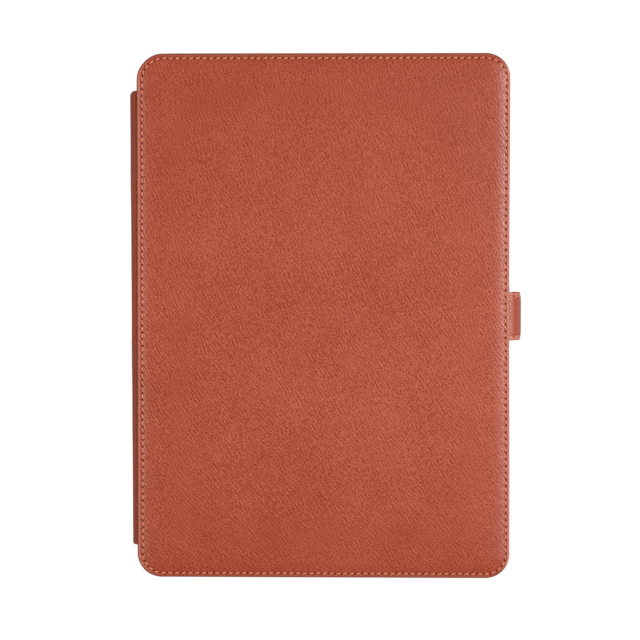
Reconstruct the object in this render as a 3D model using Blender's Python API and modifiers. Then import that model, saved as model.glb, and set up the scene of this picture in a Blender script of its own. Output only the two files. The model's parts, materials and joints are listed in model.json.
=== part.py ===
"""An e-reader in a leather folio cover that a magnetic tab holds shut.

Metres, +Z up. The closed folio lies on its back cover: +Z leaves the front cover, +Y points to
the top of the page and +X to the closure tab. The origin is the centre of the back face.
"""

import math

import bmesh
import bpy

MM = 0.001

# Panels: the two sewn covers, each a leather over a board, closed by a lining.
PANEL_WIDTH = 144.0 * MM
PANEL_HEIGHT = 202.5 * MM
PANEL_CORNER = 9.7 * MM
LEATHER_THICK = 1.2 * MM
BOARD_THICK = 1.2 * MM
LINING_THICK = 0.6 * MM
GLUE_GAP = 0.1 * MM
CROWN_RISE = 0.8 * MM  # the padded middle stands this far proud of the sewn rim
RIM_WIDTH = 2.4 * MM
CROWN_SLOPE = 3.6 * MM
BOARD_INSET = 4.0 * MM
LINING_INSET = 0.4 * MM
LEATHER_DEPTH = LEATHER_THICK + BOARD_THICK + 2.0 * GLUE_GAP
FLAP_THICK = 0.8 * MM
FLAP_INNER = 3.8 * MM  # how far a sewn-in flap reaches under the leather

# Reader: a 7.8 inch display in a two-part plastic body.
READER_WIDTH = 136.5 * MM
READER_HEIGHT = 195.0 * MM
READER_THICK = 7.8 * MM
READER_CORNER = 7.5 * MM
SHELL_WALL = 1.3 * MM
SHELL_FLOOR = 1.0 * MM
BEZEL_THICK = 1.2 * MM
ACTIVE_WIDTH = 118.9 * MM
ACTIVE_HEIGHT = 158.5 * MM
TOP_BEZEL = 9.5 * MM

# Tray: the moulded holder on the back cover that the reader snaps into.
TRAY_FLOOR = 1.0 * MM
TRAY_WALL = 1.6 * MM
TRAY_CLEARANCE = 0.3 * MM
TRAY_SIDE_HEIGHT = 5.6 * MM
TRAY_LIP = 0.8 * MM
LIP_THICK = 0.5 * MM
CORNER_CLIP = 16.0 * MM

# Heights, from the back face up.
BACK_BOARD_Z = LEATHER_THICK + GLUE_GAP
BACK_LINING_Z = LEATHER_DEPTH + GLUE_GAP
TRAY_Z = BACK_LINING_Z + LINING_THICK + GLUE_GAP
READER_Z = TRAY_Z + TRAY_FLOOR + GLUE_GAP
READER_TOP = READER_Z + READER_THICK
FRONT_LINING_Z = READER_TOP + 0.7 * MM
FRONT_LEATHER_Z = FRONT_LINING_Z + LINING_THICK + GLUE_GAP
FOLIO_TOP = FRONT_LEATHER_Z + LEATHER_DEPTH
BEZEL_Z = READER_TOP - BEZEL_THICK

# Spine: a narrower strip of leather, shorter than the panels, with a fold at each cover.
SPINE_HEIGHT = 174.8 * MM
SPINE_CENTRE_Y = -1.0 * MM
SPINE_REACH = 2.3 * MM  # how far it stands out past the panels
SPINE_LEATHER = 1.0 * MM
SPINE_LINING = 0.3 * MM
FOLD_X = -PANEL_WIDTH / 2.0 - 1.4 * MM
BACK_FOLD_Z = 2.1 * MM
FRONT_FOLD_Z = FOLIO_TOP - BACK_FOLD_Z
FOLD_CLEARANCE = 1.0 * MM
FLAP_END_X = FOLD_X + 0.8 * MM

# Closure tab: a two-layer strap sewn into the front cover, with a magnet that meets a steel plate.
TAB_WIDTH = 18.9 * MM
TAB_CENTRE_Y = -0.4 * MM
TAB_REACH = 4.5 * MM
TAB_END_Z = 0.9 * MM
TAB_END_CORNER = 4.0 * MM
TAB_OUTER = 0.9 * MM
TAB_CORE = 0.7 * MM
TAB_INNER = 0.8 * MM
TAB_BEND_THICK = TAB_OUTER + TAB_INNER + GLUE_GAP
TAB_FULL_THICK = TAB_OUTER + TAB_CORE + TAB_INNER + 2.0 * GLUE_GAP
TAB_BEND_RADIUS = 2.6 * MM
TAB_BEND_DROP = 6.0 * MM
TAB_SEAT_X = PANEL_WIDTH / 2.0 + 0.3 * MM  # its inner face lies against the tray's boss
TAB_END_X = TAB_SEAT_X + TAB_FULL_THICK
TAB_PIVOT_X = PANEL_WIDTH / 2.0 + 1.0 * MM
TAB_PIVOT_Z = FRONT_LEATHER_Z + 0.6 * MM
TAB_ROOT_THICK = 1.0 * MM
TAB_ROOT_END = TAB_PIVOT_X - 0.8 * MM
TAB_CORE_SIZE = (TAB_CORE - 2.0 * GLUE_GAP, 15.2 * MM, 5.5 * MM)
TAB_CORE_Z = 4.45 * MM
TAB_MAGNET_SIZE = (TAB_CORE - 2.0 * GLUE_GAP, 12.0 * MM, 4.0 * MM)
TAB_MAGNET_Z = 4.2 * MM
CATCH_SIZE = (0.8 * MM, 18.0 * MM, 4.2 * MM)
CATCH_LOW_Z = TRAY_Z + 0.8 * MM
BOSS_HALF_WIDTH = 12.0 * MM
SLEEP_MAGNET_XY = (58.0 * MM, -50.0 * MM)
SLEEP_MAGNET_RADIUS = 4.0 * MM

# Keys and ports along the foot of the reader.
KEY_XS = (-39.0 * MM, -13.0 * MM, 13.0 * MM, 39.0 * MM)
KEY_NAMES = ("home_key", "page_back_key", "page_forward_key", "menu_key")
KEY_Y = -85.5 * MM
KEY_SIZE = (16.0 * MM, 3.2 * MM)
KEY_PROUD = 0.3 * MM
KEY_FLANGE = 0.8 * MM
KEY_CLEARANCE = 0.2 * MM
KEY_TRAVEL = 0.4 * MM
USB_SIZE = (8.94 * MM, 7.3 * MM, 3.2 * MM)
PORT_Z = 7.8 * MM
POWER_X = -32.0 * MM
POWER_SIZE = (12.0 * MM, 2.4 * MM)
POWER_FLANGE = 0.8 * MM
POWER_PROUD = 0.6 * MM
NOTCH_LEFT = POWER_X - 10.0 * MM
NOTCH_RIGHT = 12.0 * MM

# Inside the reader, from the floor up.
BOARD_Z = 6.5 * MM
BOARD_FOOT_Y = -94.5 * MM  # clear of the power button when it is pressed
PCB_THICK = 0.8 * MM
BOARD_TOP = BOARD_Z + PCB_THICK
CHASSIS_Z = 8.5 * MM
CHASSIS_THICK = 0.6 * MM
PANEL_Z = 9.2 * MM
GUIDE_Z = 10.0 * MM
TOUCH_Z = 10.5 * MM
KEY_BOARD_Z = 8.0 * MM
DISPLAY_TOP = 91.0 * MM
DISPLAY_FOOT = -76.0 * MM
BOARD_SCREWS = ((-54.0 * MM, -88.0 * MM), (56.0 * MM, -88.0 * MM), (0.0, -36.0 * MM))
CHASSIS_SCREWS = (
    (-55.0 * MM, 93.4 * MM),
    (55.0 * MM, 93.4 * MM),
    (-62.0 * MM, -77.9 * MM),
    (62.0 * MM, -77.9 * MM),
)
KEY_BOARD_SCREWS = ((-26.0 * MM, -86.0 * MM), (26.0 * MM, -86.0 * MM))
SCREW_HEAD_RADIUS = 1.3 * MM
SCREW_HEAD_HEIGHT = 0.5 * MM
SCREW_SHANK_RADIUS = 0.7 * MM
BOARD_SCREW_REACH = 1.6 * MM
POST_SCREW_REACH = 1.8 * MM
SCREW_HOLE = 0.9 * MM
POST_RADIUS = 1.5 * MM
ROUND_STEPS = 16

# Colours, as linear RGB.
TAN = (0.434, 0.091, 0.053)
BROWN = (0.27, 0.056, 0.028)
EDGE_BROWN = (0.16, 0.04, 0.02)
BEIGE = (0.42, 0.3, 0.2)
CHARCOAL = (0.025, 0.025, 0.028)
GREY_CARD = (0.3, 0.28, 0.25)


def clear_scene():
    for obj in list(bpy.data.objects):
        bpy.data.objects.remove(obj)


def new_collection(name):
    collection = bpy.data.collections.new(name)
    bpy.context.scene.collection.children.link(collection)
    return collection


def finish(name, colour, roughness, metallic=0.0):
    material = bpy.data.materials.new(name)
    material.use_nodes = True
    shader = material.node_tree.nodes["Principled BSDF"]
    shader.inputs["Base Color"].default_value = (*colour, 1.0)
    shader.inputs["Roughness"].default_value = roughness
    shader.inputs["Metallic"].default_value = metallic
    return material


clear_scene()
PARTS = new_collection("e_reader_folio")
CUTTERS = new_collection("cutters")
LEATHER = finish("tan_leather", TAN, 0.5)
SPINE_HIDE = finish("brown_leather", BROWN, 0.55)
TAB_HIDE = finish("tab_leather", EDGE_BROWN, 0.55)
BOARD = finish("fibre_board", GREY_CARD, 0.9)
SUEDE = finish("suede_lining", BEIGE, 0.95)
BLACK_PLASTIC = finish("black_plastic", CHARCOAL, 0.5)
TRAY_PLASTIC = finish("tray_plastic", (0.03, 0.022, 0.018), 0.6)
KEY_PLASTIC = finish("key_plastic", (0.05, 0.05, 0.055), 0.35)
STEEL = finish("steel", (0.6, 0.6, 0.62), 0.3, 1.0)
MAGNET = finish("nickel_magnet", (0.7, 0.68, 0.64), 0.25, 1.0)
ALUMINIUM = finish("aluminium", (0.8, 0.8, 0.82), 0.4, 1.0)
GLASS = finish("touch_glass", (0.7, 0.72, 0.7), 0.1)
GUIDE = finish("clear_acrylic", (0.85, 0.87, 0.88), 0.05)
PAPER_PANEL = finish("epaper", (0.6, 0.61, 0.57), 0.6)
CIRCUIT = finish("circuit_board", (0.02, 0.12, 0.05), 0.5)
CHIP = finish("chip_resin", (0.02, 0.02, 0.02), 0.6)
FILM = finish("polyimide_film", (0.45, 0.2, 0.03), 0.35)
FOIL = finish("battery_foil", (0.55, 0.55, 0.57), 0.35, 0.9)


def show(name, mesh, centre, material):
    obj = bpy.data.objects.new(name, mesh)
    obj.location = centre
    obj.data.materials.clear()
    obj.data.materials.append(material)
    PARTS.objects.link(obj)
    return obj


def make_cutter(obj):
    """Turn a part into a tool for Booleans, which is neither rendered nor built."""
    PARTS.objects.unlink(obj)
    CUTTERS.objects.link(obj)
    obj.hide_render = True
    obj.display_type = "WIRE"
    return obj


def combine(target, tool, operation):
    modifier = target.modifiers.new(tool.name, "BOOLEAN")
    modifier.operation = operation
    modifier.solver = "EXACT"
    modifier.object = make_cutter(tool)


def cut(target, tool):
    combine(target, tool, "DIFFERENCE")


def add(target, tool):
    combine(target, tool, "UNION")


def upright_edges(bm):
    return [
        edge
        for edge in bm.edges
        if abs(edge.verts[0].co.z - edge.verts[1].co.z) > 0.9 * edge.calc_length()
    ]


def rim_edges(bm, side):
    """The edges round the top (side 1) or bottom (side -1) face."""
    face = max(bm.faces, key=lambda f: side * f.normal.z * f.calc_area())
    return list(face.edges)


def round_edges(bm, edges, radius, steps):
    bmesh.ops.bevel(
        bm, geom=edges, offset=radius, segments=steps, profile=0.5, affect="EDGES"
    )


def slab(name, size, centre, material, corner=0.0, corner_steps=6, top=0.0, foot=0.0):
    """A plate with rounded upright corners and, if asked, rounded top and bottom rims."""
    bm = bmesh.new()
    bmesh.ops.create_cube(bm, size=1.0)
    bmesh.ops.scale(bm, vec=size, verts=bm.verts)
    if corner:
        round_edges(bm, upright_edges(bm), corner, corner_steps)
    if top:
        round_edges(bm, rim_edges(bm, 1), top, 3)
    if foot:
        round_edges(bm, rim_edges(bm, -1), foot, 4)
    mesh = bpy.data.meshes.new(name)
    bm.to_mesh(mesh)
    bm.free()
    return show(name, mesh, centre, material)


def block(name, low, high, material, **rounding):
    """A slab given by its low and high corners."""
    size = [b - a for a, b in zip(low, high)]
    centre = [(a + b) / 2.0 for a, b in zip(low, high)]
    return slab(name, size, centre, material, **rounding)


def rod(name, radius, low, high, xy, material):
    """An upright cylinder between two heights."""
    bm = bmesh.new()
    bmesh.ops.create_cone(
        bm,
        cap_ends=True,
        segments=ROUND_STEPS,
        radius1=radius,
        radius2=radius,
        depth=high - low,
    )
    mesh = bpy.data.meshes.new(name)
    bm.to_mesh(mesh)
    bm.free()
    return show(name, mesh, (*xy, (low + high) / 2.0), material)


def turned(name, profile, centre, material, steps=12):
    """A solid of revolution: the profile runs from the top of the axis, out, down and back."""
    bm = bmesh.new()
    points = [bm.verts.new((radius, 0.0, z)) for radius, z in profile]
    for start, end in zip(points, points[1:]):
        bm.edges.new((start, end))
    mesh = bpy.data.meshes.new(name)
    bm.to_mesh(mesh)
    bm.free()
    obj = show(name, mesh, centre, material)
    screw = obj.modifiers.new("turn", "SCREW")
    screw.steps = steps
    screw.render_steps = steps
    screw.use_merge_vertices = True
    screw.merge_threshold = 0.01 * MM
    return obj


def profile_solid(name, outline, centre_y, width, material):
    """A closed outline of (x, z) points, given width along Y."""
    curve = bpy.data.curves.new(name, "CURVE")
    curve.dimensions = "2D"
    curve.fill_mode = "BOTH"
    curve.extrude = width / 2.0
    spline = curve.splines.new("POLY")
    spline.points.add(len(outline) - 1)
    for point, (x, z) in zip(spline.points, outline):
        point.co = (x, z, 0.0, 1.0)
    spline.use_cyclic_u = True
    flat = bpy.data.objects.new(name + "_outline", curve)
    flat.location.y = centre_y
    flat.rotation_euler.x = math.radians(90.0)
    PARTS.objects.link(flat)
    bpy.context.view_layer.update()
    depsgraph = bpy.context.evaluated_depsgraph_get()
    mesh = bpy.data.meshes.new_from_object(flat.evaluated_get(depsgraph))
    mesh.transform(flat.matrix_world)
    bpy.data.objects.remove(flat)
    bm = bmesh.new()
    bm.from_mesh(mesh)
    bmesh.ops.remove_doubles(bm, verts=bm.verts, dist=0.01 * MM)
    bmesh.ops.recalc_face_normals(bm, faces=bm.faces)
    bm.to_mesh(mesh)
    bm.free()
    return show(name, mesh, (0.0, 0.0, 0.0), material)


def pivot(name, location):
    empty = bpy.data.objects.new(name, None)
    empty.location = location
    PARTS.objects.link(empty)
    return empty


def hang(parent, *children):
    """Parent the children without moving them."""
    bpy.context.view_layer.update()
    for child in children:
        child.parent = parent
        child.matrix_parent_inverse = parent.matrix_world.inverted()


def smooth(obj):
    obj.data.shade_smooth()
    obj.data.set_sharp_from_angle(angle=math.radians(35.0))


def crowned_leather(name, face_z, side):
    """A cover leather: a sewn rim round a padded middle, hollow behind for the board."""
    depth = LEATHER_DEPTH - CROWN_RISE
    bm = bmesh.new()
    bmesh.ops.create_cube(bm, size=1.0)
    bmesh.ops.scale(bm, vec=(PANEL_WIDTH, PANEL_HEIGHT, depth), verts=bm.verts)
    round_edges(bm, upright_edges(bm), PANEL_CORNER, 6)
    face = max(bm.faces, key=lambda f: side * f.normal.z * f.calc_area())
    bmesh.ops.inset_region(bm, faces=[face], thickness=RIM_WIDTH, depth=0.0)
    bmesh.ops.inset_region(bm, faces=[face], thickness=CROWN_SLOPE, depth=CROWN_RISE)
    mesh = bpy.data.meshes.new(name)
    bm.to_mesh(mesh)
    bm.free()
    centre_z = face_z - side * (CROWN_RISE + depth / 2.0)
    leather = show(name, mesh, (0.0, 0.0, centre_z), LEATHER)
    smooth(leather)
    inner_z = face_z - side * LEATHER_DEPTH
    outer_z = face_z - side * LEATHER_THICK
    half_width = PANEL_WIDTH / 2.0 - BOARD_INSET + GLUE_GAP
    half_height = PANEL_HEIGHT / 2.0 - BOARD_INSET + GLUE_GAP
    reach_z = inner_z - side * MM
    cut(
        leather,
        block(
            name + "_board_pocket",
            (-half_width, -half_height, min(outer_z, reach_z)),
            (half_width, half_height, max(outer_z, reach_z)),
            LEATHER,
            corner=PANEL_CORNER - BOARD_INSET,
        ),
    )
    return leather


def cover_board(name, low_z):
    size = (
        PANEL_WIDTH - 2.0 * BOARD_INSET,
        PANEL_HEIGHT - 2.0 * BOARD_INSET,
        BOARD_THICK,
    )
    corner = PANEL_CORNER - BOARD_INSET
    return slab(name, size, (0.0, 0.0, low_z + BOARD_THICK / 2.0), BOARD, corner=corner)


def cover_lining(name, low_z):
    size = (
        PANEL_WIDTH - 2.0 * LINING_INSET,
        PANEL_HEIGHT - 2.0 * LINING_INSET,
        LINING_THICK,
    )
    corner = PANEL_CORNER - LINING_INSET
    return slab(name, size, (0.0, 0.0, low_z + LINING_THICK / 2.0), SUEDE, corner=corner)


def spine_flap(name, fold_z, leather):
    """The spine's sewn-in edge, and the recess it fills in a cover's rim."""
    side = 1.0 if fold_z > FOLIO_TOP / 2.0 else -1.0
    inner_x = -PANEL_WIDTH / 2.0 + FLAP_INNER
    low_y = SPINE_CENTRE_Y - SPINE_HEIGHT / 2.0
    high_y = SPINE_CENTRE_Y + SPINE_HEIGHT / 2.0
    half = FLAP_THICK / 2.0
    flap = block(
        name, (FLAP_END_X, low_y, fold_z - half), (inner_x, high_y, fold_z + half), SPINE_HIDE
    )
    recess_top = fold_z + side * (half + GLUE_GAP)
    recess_foot = fold_z - side * (half + MM)
    recess = block(
        name + "_recess",
        (FLAP_END_X, low_y - GLUE_GAP, min(recess_top, recess_foot)),
        (inner_x + 2.0 * GLUE_GAP, high_y + GLUE_GAP, max(recess_top, recess_foot)),
        SPINE_HIDE,
    )
    cut(leather, recess)
    return flap


def spine_strip():
    """The upright part of the spine, between its two folds."""
    outer_x = -PANEL_WIDTH / 2.0 - SPINE_REACH
    low_z = BACK_FOLD_Z + FOLD_CLEARANCE
    high_z = FRONT_FOLD_Z - FOLD_CLEARANCE
    low_y = SPINE_CENTRE_Y - SPINE_HEIGHT / 2.0
    high_y = SPINE_CENTRE_Y + SPINE_HEIGHT / 2.0
    middle_x = outer_x + SPINE_LEATHER
    leather = block(
        "spine_leather", (outer_x, low_y, low_z), (middle_x, high_y, high_z), SPINE_HIDE
    )
    lining_x = middle_x + GLUE_GAP
    lining = block(
        "spine_lining",
        (lining_x, low_y + MM, low_z),
        (lining_x + SPINE_LINING, high_y - MM, high_z),
        SUEDE,
    )
    return leather, lining


def tab_face(thickness_at_bend, thickness_at_end):
    """Points down one face of the tab: over its bend, in towards the tray and down to its end."""
    outer_x = PANEL_WIDTH / 2.0 + TAB_REACH
    centre_x = outer_x - TAB_BEND_RADIUS
    centre_z = TAB_PIVOT_Z + 0.75 * MM - TAB_BEND_RADIUS
    radius = TAB_BEND_RADIUS - thickness_at_bend
    steps = 8
    points = []
    for step in range(4):
        angle = math.radians(86.0 - 21.5 * step)
        points.append((centre_x + radius * math.cos(angle), centre_z + radius * math.sin(angle)))
    for step in range(steps + 1):
        share = step / steps
        ease = 0.5 - 0.5 * math.cos(math.pi * share)
        thick = thickness_at_bend + (thickness_at_end - thickness_at_bend) * ease
        x = outer_x + (TAB_END_X - outer_x) * ease - thick
        points.append((x, centre_z - TAB_BEND_DROP * share))
    points.append((TAB_END_X - thickness_at_end, TAB_END_Z))
    return points


def tab_layer(name, outer, inner, material):
    """One layer of the tab between two faces, with the free end's corners rounded."""
    outline = tab_face(*outer) + tab_face(*inner)[::-1]
    layer = profile_solid(name, outline, TAB_CENTRE_Y, TAB_WIDTH, material)
    bm = bmesh.new()
    bm.from_mesh(layer.data)
    corners = [
        edge
        for edge in bm.edges
        if max(v.co.z for v in edge.verts) < TAB_END_Z + 0.1 * MM
        and abs(edge.verts[0].co.x - edge.verts[1].co.x) > 0.1 * MM
    ]
    round_edges(bm, corners, TAB_END_CORNER, 5)
    bm.to_mesh(layer.data)
    bm.free()
    smooth(layer)
    return layer


def tab_core():
    """The filler between the tab's leathers, with a window for its magnet."""
    middle_x = TAB_END_X - TAB_OUTER - GLUE_GAP - TAB_CORE / 2.0
    core = slab("closure_tab_core", TAB_CORE_SIZE, (middle_x, TAB_CENTRE_Y, TAB_CORE_Z), BOARD)
    place = (middle_x, TAB_CENTRE_Y, TAB_MAGNET_Z)
    _, width, height = TAB_MAGNET_SIZE
    window_size = (MM, width + 2.0 * GLUE_GAP, height + 2.0 * GLUE_GAP)
    cut(core, slab("closure_tab_core_window", window_size, place, BOARD))
    magnet = slab("closure_tab_magnet", TAB_MAGNET_SIZE, place, MAGNET)
    return core, magnet


def tab_root(leather):
    """The end of the tab that is sewn between the front leather and its lining."""
    low_x = PANEL_WIDTH / 2.0 - FLAP_INNER
    low_y = TAB_CENTRE_Y - TAB_WIDTH / 2.0
    high_y = TAB_CENTRE_Y + TAB_WIDTH / 2.0
    low_z = TAB_PIVOT_Z - TAB_ROOT_THICK / 2.0
    high_z = TAB_PIVOT_Z + TAB_ROOT_THICK / 2.0
    root = block("closure_tab_root", (low_x, low_y, low_z), (TAB_ROOT_END, high_y, high_z), TAB_HIDE)
    recess = block(
        "closure_tab_root_recess",
        (low_x - 2.0 * GLUE_GAP, low_y - GLUE_GAP, low_z - MM),
        (TAB_ROOT_END, high_y + GLUE_GAP, high_z + GLUE_GAP),
        TAB_HIDE,
    )
    cut(leather, recess)
    return root


def front_cover():
    leather = crowned_leather("front_cover_leather", FOLIO_TOP, 1.0)
    board = cover_board("front_cover_board", FRONT_LEATHER_Z + GLUE_GAP)
    lining = cover_lining("front_cover_lining", FRONT_LINING_Z)
    flap = spine_flap("spine_front_flap", FRONT_FOLD_Z, leather)
    root = tab_root(leather)
    low_z = FRONT_LEATHER_Z + GLUE_GAP
    high_z = low_z + BOARD_THICK
    seat_radius = SLEEP_MAGNET_RADIUS + 2.0 * GLUE_GAP
    seat = rod("sleep_magnet_seat", seat_radius, low_z - MM, high_z + MM, SLEEP_MAGNET_XY, BOARD)
    cut(board, seat)
    magnet = rod("sleep_magnet", SLEEP_MAGNET_RADIUS, low_z, high_z, SLEEP_MAGNET_XY, MAGNET)
    return leather, board, lining, flap, root, magnet


def back_cover():
    leather = crowned_leather("back_cover_leather", 0.0, -1.0)
    board = cover_board("back_cover_board", BACK_BOARD_Z)
    lining = cover_lining("back_cover_lining", BACK_LINING_Z)
    flap = spine_flap("spine_back_flap", BACK_FOLD_Z, leather)
    return leather, board, lining, flap


def holding_tray():
    """A shallow tub with low sides, four hooked corners, a port notch and a boss for the plate."""
    inner_width = READER_WIDTH + 2.0 * TRAY_CLEARANCE
    inner_height = READER_HEIGHT + 2.0 * TRAY_CLEARANCE
    inner_corner = READER_CORNER + TRAY_CLEARANCE
    half_width = inner_width / 2.0 + TRAY_WALL
    half_height = inner_height / 2.0 + TRAY_WALL
    lip_z = READER_TOP + GLUE_GAP
    top_z = lip_z + LIP_THICK
    floor_z = TRAY_Z + TRAY_FLOOR
    side_z = TRAY_Z + TRAY_SIDE_HEIGHT
    tray = block(
        "holding_tray",
        (-half_width, -half_height, TRAY_Z),
        (half_width, half_height, top_z),
        TRAY_PLASTIC,
        corner=inner_corner + TRAY_WALL,
    )
    boss_x = PANEL_WIDTH / 2.0 - GLUE_GAP
    boss = block(
        "holding_tray_boss",
        (half_width - TRAY_WALL / 2.0, TAB_CENTRE_Y - BOSS_HALF_WIDTH, TRAY_Z),
        (boss_x, TAB_CENTRE_Y + BOSS_HALF_WIDTH, side_z),
        TRAY_PLASTIC,
    )
    add(tray, boss)
    cavity = slab(
        "holding_tray_cavity",
        (inner_width, inner_height, lip_z - floor_z),
        (0.0, 0.0, (lip_z + floor_z) / 2.0),
        TRAY_PLASTIC,
        corner=inner_corner,
    )
    cut(tray, cavity)
    mouth = slab(
        "holding_tray_mouth",
        (READER_WIDTH - 2.0 * TRAY_LIP, READER_HEIGHT - 2.0 * TRAY_LIP, 4.0 * MM),
        (0.0, 0.0, top_z),
        TRAY_PLASTIC,
        corner=READER_CORNER - TRAY_LIP,
    )
    cut(tray, mouth)
    low_sides = (
        (half_width + MM, half_height - CORNER_CLIP),
        (half_width - CORNER_CLIP, half_height + MM),
    )
    for index, (half_x, half_y) in enumerate(low_sides):
        name = f"holding_tray_low_side_{index + 1}"
        cut(tray, block(name, (-half_x, -half_y, side_z), (half_x, half_y, top_z + MM), TRAY_PLASTIC))
    notch = block(
        "holding_tray_port_notch",
        (NOTCH_LEFT, -half_height - MM, floor_z + GLUE_GAP),
        (NOTCH_RIGHT, -inner_height / 2.0 + MM, side_z + MM),
        TRAY_PLASTIC,
    )
    cut(tray, notch)
    thick, width, height = CATCH_SIZE
    plate_x = boss_x - thick / 2.0
    plate_z = CATCH_LOW_Z + height / 2.0
    seat_size = (thick + MM, width + 2.0 * GLUE_GAP, height + 2.0 * GLUE_GAP)
    seat_place = (plate_x - GLUE_GAP + MM / 2.0, TAB_CENTRE_Y, plate_z)
    cut(tray, slab("catch_plate_seat", seat_size, seat_place, TRAY_PLASTIC))
    plate = slab("catch_plate", CATCH_SIZE, (plate_x, TAB_CENTRE_Y, plate_z), STEEL)
    return tray, plate


def rear_shell():
    """The reader's tub, with bosses for the main board and openings for the port and button."""
    top_z = BEZEL_Z - GLUE_GAP
    shell = block(
        "rear_shell",
        (-READER_WIDTH / 2.0, -READER_HEIGHT / 2.0, READER_Z),
        (READER_WIDTH / 2.0, READER_HEIGHT / 2.0, top_z),
        BLACK_PLASTIC,
        corner=READER_CORNER,
        foot=2.0 * MM,
    )
    smooth(shell)
    floor_z = READER_Z + SHELL_FLOOR
    half_width = READER_WIDTH / 2.0 - SHELL_WALL
    half_height = READER_HEIGHT / 2.0 - SHELL_WALL
    cavity = block(
        "rear_shell_cavity",
        (-half_width, -half_height, floor_z),
        (half_width, half_height, top_z + MM),
        BLACK_PLASTIC,
        corner=READER_CORNER - SHELL_WALL,
    )
    cut(shell, cavity)
    boss_top = BOARD_Z - GLUE_GAP
    hole_z = floor_z + 0.1 * MM
    for index, xy in enumerate(BOARD_SCREWS):
        boss_name = f"rear_shell_boss_{index + 1}"
        add(shell, rod(boss_name, 2.2 * MM, floor_z - 0.3 * MM, boss_top, xy, BLACK_PLASTIC))
        hole_name = f"rear_shell_boss_hole_{index + 1}"
        cut(shell, rod(hole_name, SCREW_HOLE, hole_z, boss_top + MM, xy, BLACK_PLASTIC))
    wall_y = -READER_HEIGHT / 2.0 + SHELL_WALL / 2.0
    port = slab(
        "rear_shell_port_hole",
        (USB_SIZE[0] + 0.3 * MM, 3.0 * SHELL_WALL, USB_SIZE[2] + 0.3 * MM),
        (0.0, wall_y, PORT_Z),
        BLACK_PLASTIC,
    )
    cut(shell, port)
    button = slab(
        "rear_shell_button_hole",
        (POWER_SIZE[0] + 0.4 * MM, 3.0 * SHELL_WALL, POWER_SIZE[1] + 0.4 * MM),
        (POWER_X, wall_y, PORT_Z),
        BLACK_PLASTIC,
    )
    cut(shell, button)
    return shell


def front_bezel():
    """The reader's face, with the display window, key openings, an inner lip and screw posts."""
    bezel = block(
        "front_bezel",
        (-READER_WIDTH / 2.0, -READER_HEIGHT / 2.0, BEZEL_Z),
        (READER_WIDTH / 2.0, READER_HEIGHT / 2.0, READER_TOP),
        BLACK_PLASTIC,
        corner=READER_CORNER,
        top=0.7 * MM,
    )
    smooth(bezel)
    lip_half_x = READER_WIDTH / 2.0 - SHELL_WALL - 0.2 * MM
    lip_half_y = READER_HEIGHT / 2.0 - SHELL_WALL - 0.2 * MM
    lip_wall = 0.9 * MM
    lip_corner = READER_CORNER - SHELL_WALL - 0.2 * MM
    lip_z = BEZEL_Z - 1.2 * MM
    lip = block(
        "front_bezel_lip",
        (-lip_half_x, -lip_half_y, lip_z),
        (lip_half_x, lip_half_y, BEZEL_Z + 0.3 * MM),
        BLACK_PLASTIC,
        corner=lip_corner,
    )
    add(bezel, lip)
    recess = block(
        "front_bezel_recess",
        (-lip_half_x + lip_wall, -lip_half_y + lip_wall, lip_z - MM),
        (lip_half_x - lip_wall, lip_half_y - lip_wall, BEZEL_Z),
        BLACK_PLASTIC,
        corner=lip_corner - lip_wall,
    )
    cut(bezel, recess)
    window_top = READER_HEIGHT / 2.0 - TOP_BEZEL
    window = slab(
        "front_bezel_window",
        (ACTIVE_WIDTH + 0.8 * MM, ACTIVE_HEIGHT + 0.8 * MM, 4.0 * MM),
        (0.0, window_top - ACTIVE_HEIGHT / 2.0, READER_TOP),
        BLACK_PLASTIC,
        corner=1.0 * MM,
        corner_steps=3,
    )
    cut(bezel, window)
    for key_name, x in zip(KEY_NAMES, KEY_XS):
        opening = slab(
            f"front_bezel_{key_name}_opening",
            (KEY_SIZE[0] + 2.0 * KEY_CLEARANCE, KEY_SIZE[1] + 2.0 * KEY_CLEARANCE, 4.0 * MM),
            (x, KEY_Y, READER_TOP),
            BLACK_PLASTIC,
            corner=KEY_SIZE[1] / 2.0,
            corner_steps=5,
        )
        cut(bezel, opening)
    posts = [(xy, CHASSIS_Z + CHASSIS_THICK + GLUE_GAP) for xy in CHASSIS_SCREWS]
    posts += [(xy, KEY_BOARD_Z + PCB_THICK + GLUE_GAP) for xy in KEY_BOARD_SCREWS]
    for index, (xy, foot) in enumerate(posts):
        post = f"front_bezel_post_{index + 1}"
        add(bezel, rod(post, POST_RADIUS, foot, BEZEL_Z + 0.3 * MM, xy, BLACK_PLASTIC))
        hole = f"front_bezel_post_hole_{index + 1}"
        cut(bezel, rod(hole, SCREW_HOLE, foot - MM, foot + 1.5 * MM, xy, BLACK_PLASTIC))
    return bezel


def display_stack():
    """The touch glass, light guide, light strip and display panel, from the top down."""
    touch = block(
        "touch_glass",
        (-64.0 * MM, DISPLAY_FOOT + 1.5 * MM, TOUCH_Z),
        (64.0 * MM, DISPLAY_TOP, TOUCH_Z + 0.5 * MM),
        GLASS,
    )
    guide_foot = DISPLAY_FOOT + 3.5 * MM
    guide = block(
        "front_light_guide",
        (-62.0 * MM, guide_foot, GUIDE_Z),
        (62.0 * MM, DISPLAY_TOP - 1.5 * MM, GUIDE_Z + 0.4 * MM),
        GUIDE,
    )
    lights = block(
        "front_light_strip",
        (-60.0 * MM, guide_foot - 1.8 * MM, GUIDE_Z),
        (60.0 * MM, guide_foot - 0.3 * MM, GUIDE_Z + 0.4 * MM),
        FILM,
    )
    panel = block(
        "epaper_panel",
        (-63.5 * MM, DISPLAY_FOOT, PANEL_Z),
        (63.5 * MM, DISPLAY_TOP, PANEL_Z + 0.7 * MM),
        PAPER_PANEL,
    )
    return touch, guide, lights, panel


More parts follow.
